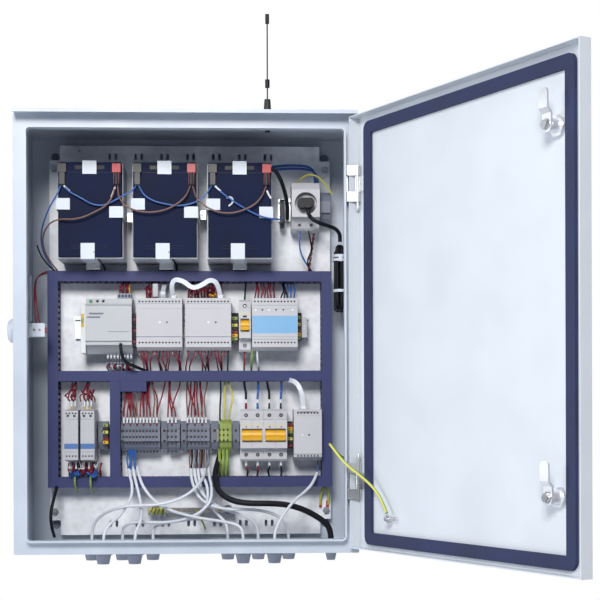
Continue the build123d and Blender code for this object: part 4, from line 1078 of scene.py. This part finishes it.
def makeEarthBar():
    z, face = earthBar["z"], earthBar["face"]
    xs = evenly(earthBar["centre"], earthBar["pitch"], earthBar["screws"])
    screwHeads("earthBarScrews", [(x, face + 0.4, z) for x in xs], 2.3)
    loops = []
    for number in range(earthBar["turns"]):
        x = earthBar["coilStart"] + number * earthBar["coilPitch"]
        loops.append([
            (x, 50, z - 6), (x + 1, 60, z), (x + 4, 58, z + 5), (x + 6, 48, z + 1), (x + 5, 42, z - 7),
        ])
    wires("earthBarCoil", "earthWire", loops, 3.4)
    wires("earthBarTails", "earthWire", [
        [(44, 48, z), (50, 58, z + 6), (58, 60, z + 2), (67, 50, z - 3)],
        [(10, 48, z), (12, 58, z - 8), (20, 52, z - 20), (22, 30, z - 30)],
    ], 3.2)
    blocks("earthBarBracket", "zincPart", [earthBar["bracket"]], 0.4)


corner = {"lugs": (203.5, 214.5), "z": -258}


def makeCorner():
    z = corner["z"]
    left, right = corner["lugs"]
    wires("cornerLoop", "earthWire", [
        [
            (left, 22, z - 4), (left - 1, 30, z + 8), (207, 36, z + 26),
            (214, 34, z + 24), (217, 28, z + 8), (right, 22, z - 4),
        ],
    ], 3.6)
    sleeves("cornerLugs", "redBoot", (left, right), 23, z - 5, z + 5, 5.0)
    wires("cornerBlack", "sheathBlack", [
        [(-205, 60, -228), (-207, 84, -246), (-211, 92, -268), (-210, 84, -290), (-208.6, 62, -304)],
    ], 5.2)
    wires("wallRun", "sheathBlack", [
        [
            (-206, 40, 106), (-212, 42, 108), (-218, 42, 114), (-226, 46, 124), (-231, 50, 132),
            (-234, 60, 144),
        ],
    ], 2.4)


upper = {
    "bundle": (113, 193), "bundleZ": 267, "strands": ((4, 40), (1.5, 44), (-1, 41), (-3.5, 45)),
    "twistTop": (193, 52, 164), "twistRun": (-8, -58),
    "twistRadius": 1.3, "twistStep": 1.1, "twistPoints": 22,
    "roots": (-187, -190.2, -105.6, -108.8, -74.4, -77.6, 3.4, 6.6, 35.6, 38.6, 118),
}


def makeUpper():
    left, right = upper["bundle"]
    routes = []
    for number, (dz, depth) in enumerate(upper["strands"]):
        z = upper["bundleZ"] + dz
        last = right + 2 + 1.8 * number
        routes.append([
            (left - 2, depth, z - 3), (140, depth + 2, z + 1), (170, depth, z + 2),
            (last - 4, depth, z - 1), (last, depth, z - 16), (last + 1, depth, 222),
        ])
    wires("upperBlue", "wireBlue", routes, 2.4)
    wires("socketBlue", "wireBlue", [
        [(171, 60, 168), (170, 64, 150), (171, 58, 136), (178, 50, 122), (186, 40, 112), (189, 34, 104)],
    ], 2.6)
    wires("socketBlack", "sheathBlack", [
        [(184, 60, 168), (187, 66, 150), (190, 58, 138), (183, 52, 124), (184, 44, 114), (192, 34, 104)],
    ], 2.6)
    startX, startDepth, startZ = upper["twistTop"]
    acrossRun, downRun = upper["twistRun"]
    radius, count = upper["twistRadius"], upper["twistPoints"]
    for look, phase in {"wireRed": 0.0, "sheathBlack": math.pi}.items():
        route = []
        for step in range(count):
            angle = phase + step * upper["twistStep"]
            share = step / (count - 1)
            x = startX + acrossRun * share + radius * math.cos(angle)
            route.append((x, startDepth + radius * math.sin(angle), startZ + downRun * share))
        wires(f"twisted{look}", look, [route], 2.0)
    wires("upperEarth", "earthWire", [
        [(168, 56, 243), (176, 66, 251), (188, 70, 254), (200, 70, 249), (211, 66, 238), (221, 60, 224)],
    ], 3.2)
    roots = [(x, 118.5, 228) for x in upper["roots"]]
    discs("leadRoots", "connectorBlack", roots, 1.7, 3, 12, (0, 0, 1))
    wires("leadMarkers", "labelWhite", [
        [(-186, 119, 226.6), (-182, 119, 222), (-177.5, 119, 218.4)],
        [(-109.4, 120, 224), (-112, 120, 216), (-115, 120, 209)],
        [(41, 120, 226.6), (45, 120, 222), (49, 120, 219)],
        [(118.6, 120, 220), (121, 120, 214), (125, 120, 208)],
    ], 3.2)
    wires("tieTail", "clipNylon", [
        [(58, 117.5, 209), (64, 119, 211), (68, 119, 206), (66, 119, 200), (61, 117.5, 197)],
    ], 3)


batteries = {
    "centres": (-148, -35.6, 77.6), "half": 47.8, "face": 115, "lid": 247.5,
    "sleeve": 237.6, "gaps": ((-91.6, 187), (21.2, 191)),
}


def makeBatteries():
    face, half = batteries["face"], batteries["half"]
    seams, ribs, caps = [], [], []
    for x in batteries["centres"]:
        seams.append((x - half + 0.4, x + half - 0.4, face, batteries["lid"] - 0.35, batteries["lid"] + 0.35))
        ribs += [(x - 28, x + 28, face, z, z + 0.5) for z in (133, 137)]
        caps.append((x - 22, x + 22, face, 252, 258))
    marks("batterySeams", "holeShadeAndDarkMarks", seams)
    marks("batteryRibs", "plugBlack", ribs)
    sleeve, gaps = batteries["sleeve"], batteries["gaps"]
    discs("bootSleeves", "blackBoot", [
        (x + 40.6, 118.5, sleeve) for x in batteries["centres"]
    ], 4.6, 18.4, 16, (0, 0, 1), 4.2)
    blocks("batteryClamps", "zincPart", [(x - 5, x + 5, 21, 58, z - 7, z + 8) for x, z in gaps], 0.6)
    screwHeads("clampBolts", [(x, 58.4, z) for x, z in gaps], 2.6)
    blocks("clipFeet", "zincPart", [(x - 11, x + 11, 22, 60, 107, 118.8) for x in batteries["centres"]], 0.8)
    wires("clipTies", "sheathBlack", [
        [(x + 6, 116, 128), (x + 11, 112, 118), (x + 17, 60, 113), (x + 15, 30, 108)]
        for x in batteries["centres"][:2]
    ], 2.4)
    marks("batteryVents", "plugBlack", caps)


button = {
    "tip": (-214.4, -211.6, 120, 130, 4, 14), "screws": (-228, -220), "face": 137.4, "centre": 9,
    "strip": (-234, -230, 146, 154, 20, 88),
}


def makeButton():
    blocks("contactTips", "redBoot", [button["tip"]], 0.6)
    screwHeads("contactScrews", [(x, button["face"], button["centre"]) for x in button["screws"]], 1.8)
    blocks("contactStrip", "glandGrey", [button["strip"]], 0.6)
    wires("contactWires", "wireRed", [
        [(-226, 132, 19), (-228, 134, 40), (-230, 120, 70), (-232, 90, 92), (-218, 50, 104), (-206, 36, 104)],
        [(-221, 132, 19), (-224, 136, 42), (-229, 122, 72), (-230, 88, 95), (-217, 48, 107), (-206, 34, 107)],
    ], 2.2)


makeCamera()
makeStudio()
print("studio ready")
makeCords()
print("cords laid")
for make in (
    makeWallPlugs, makeSupply, makeControllers, makeRibbons, makeStacks, makeMeter, makeSingleBreaker,
    makeRelays, makeTerminals, makeEarthBlocks, makeBreakers, makeRadio,
):
    make()
print("rail devices detailed")
for make in (makeEarthBar, makeCorner, makeUpper, makeBatteries, makeButton):
    make()
print("wiring and trims in")
dressCad()
print("finishes on")
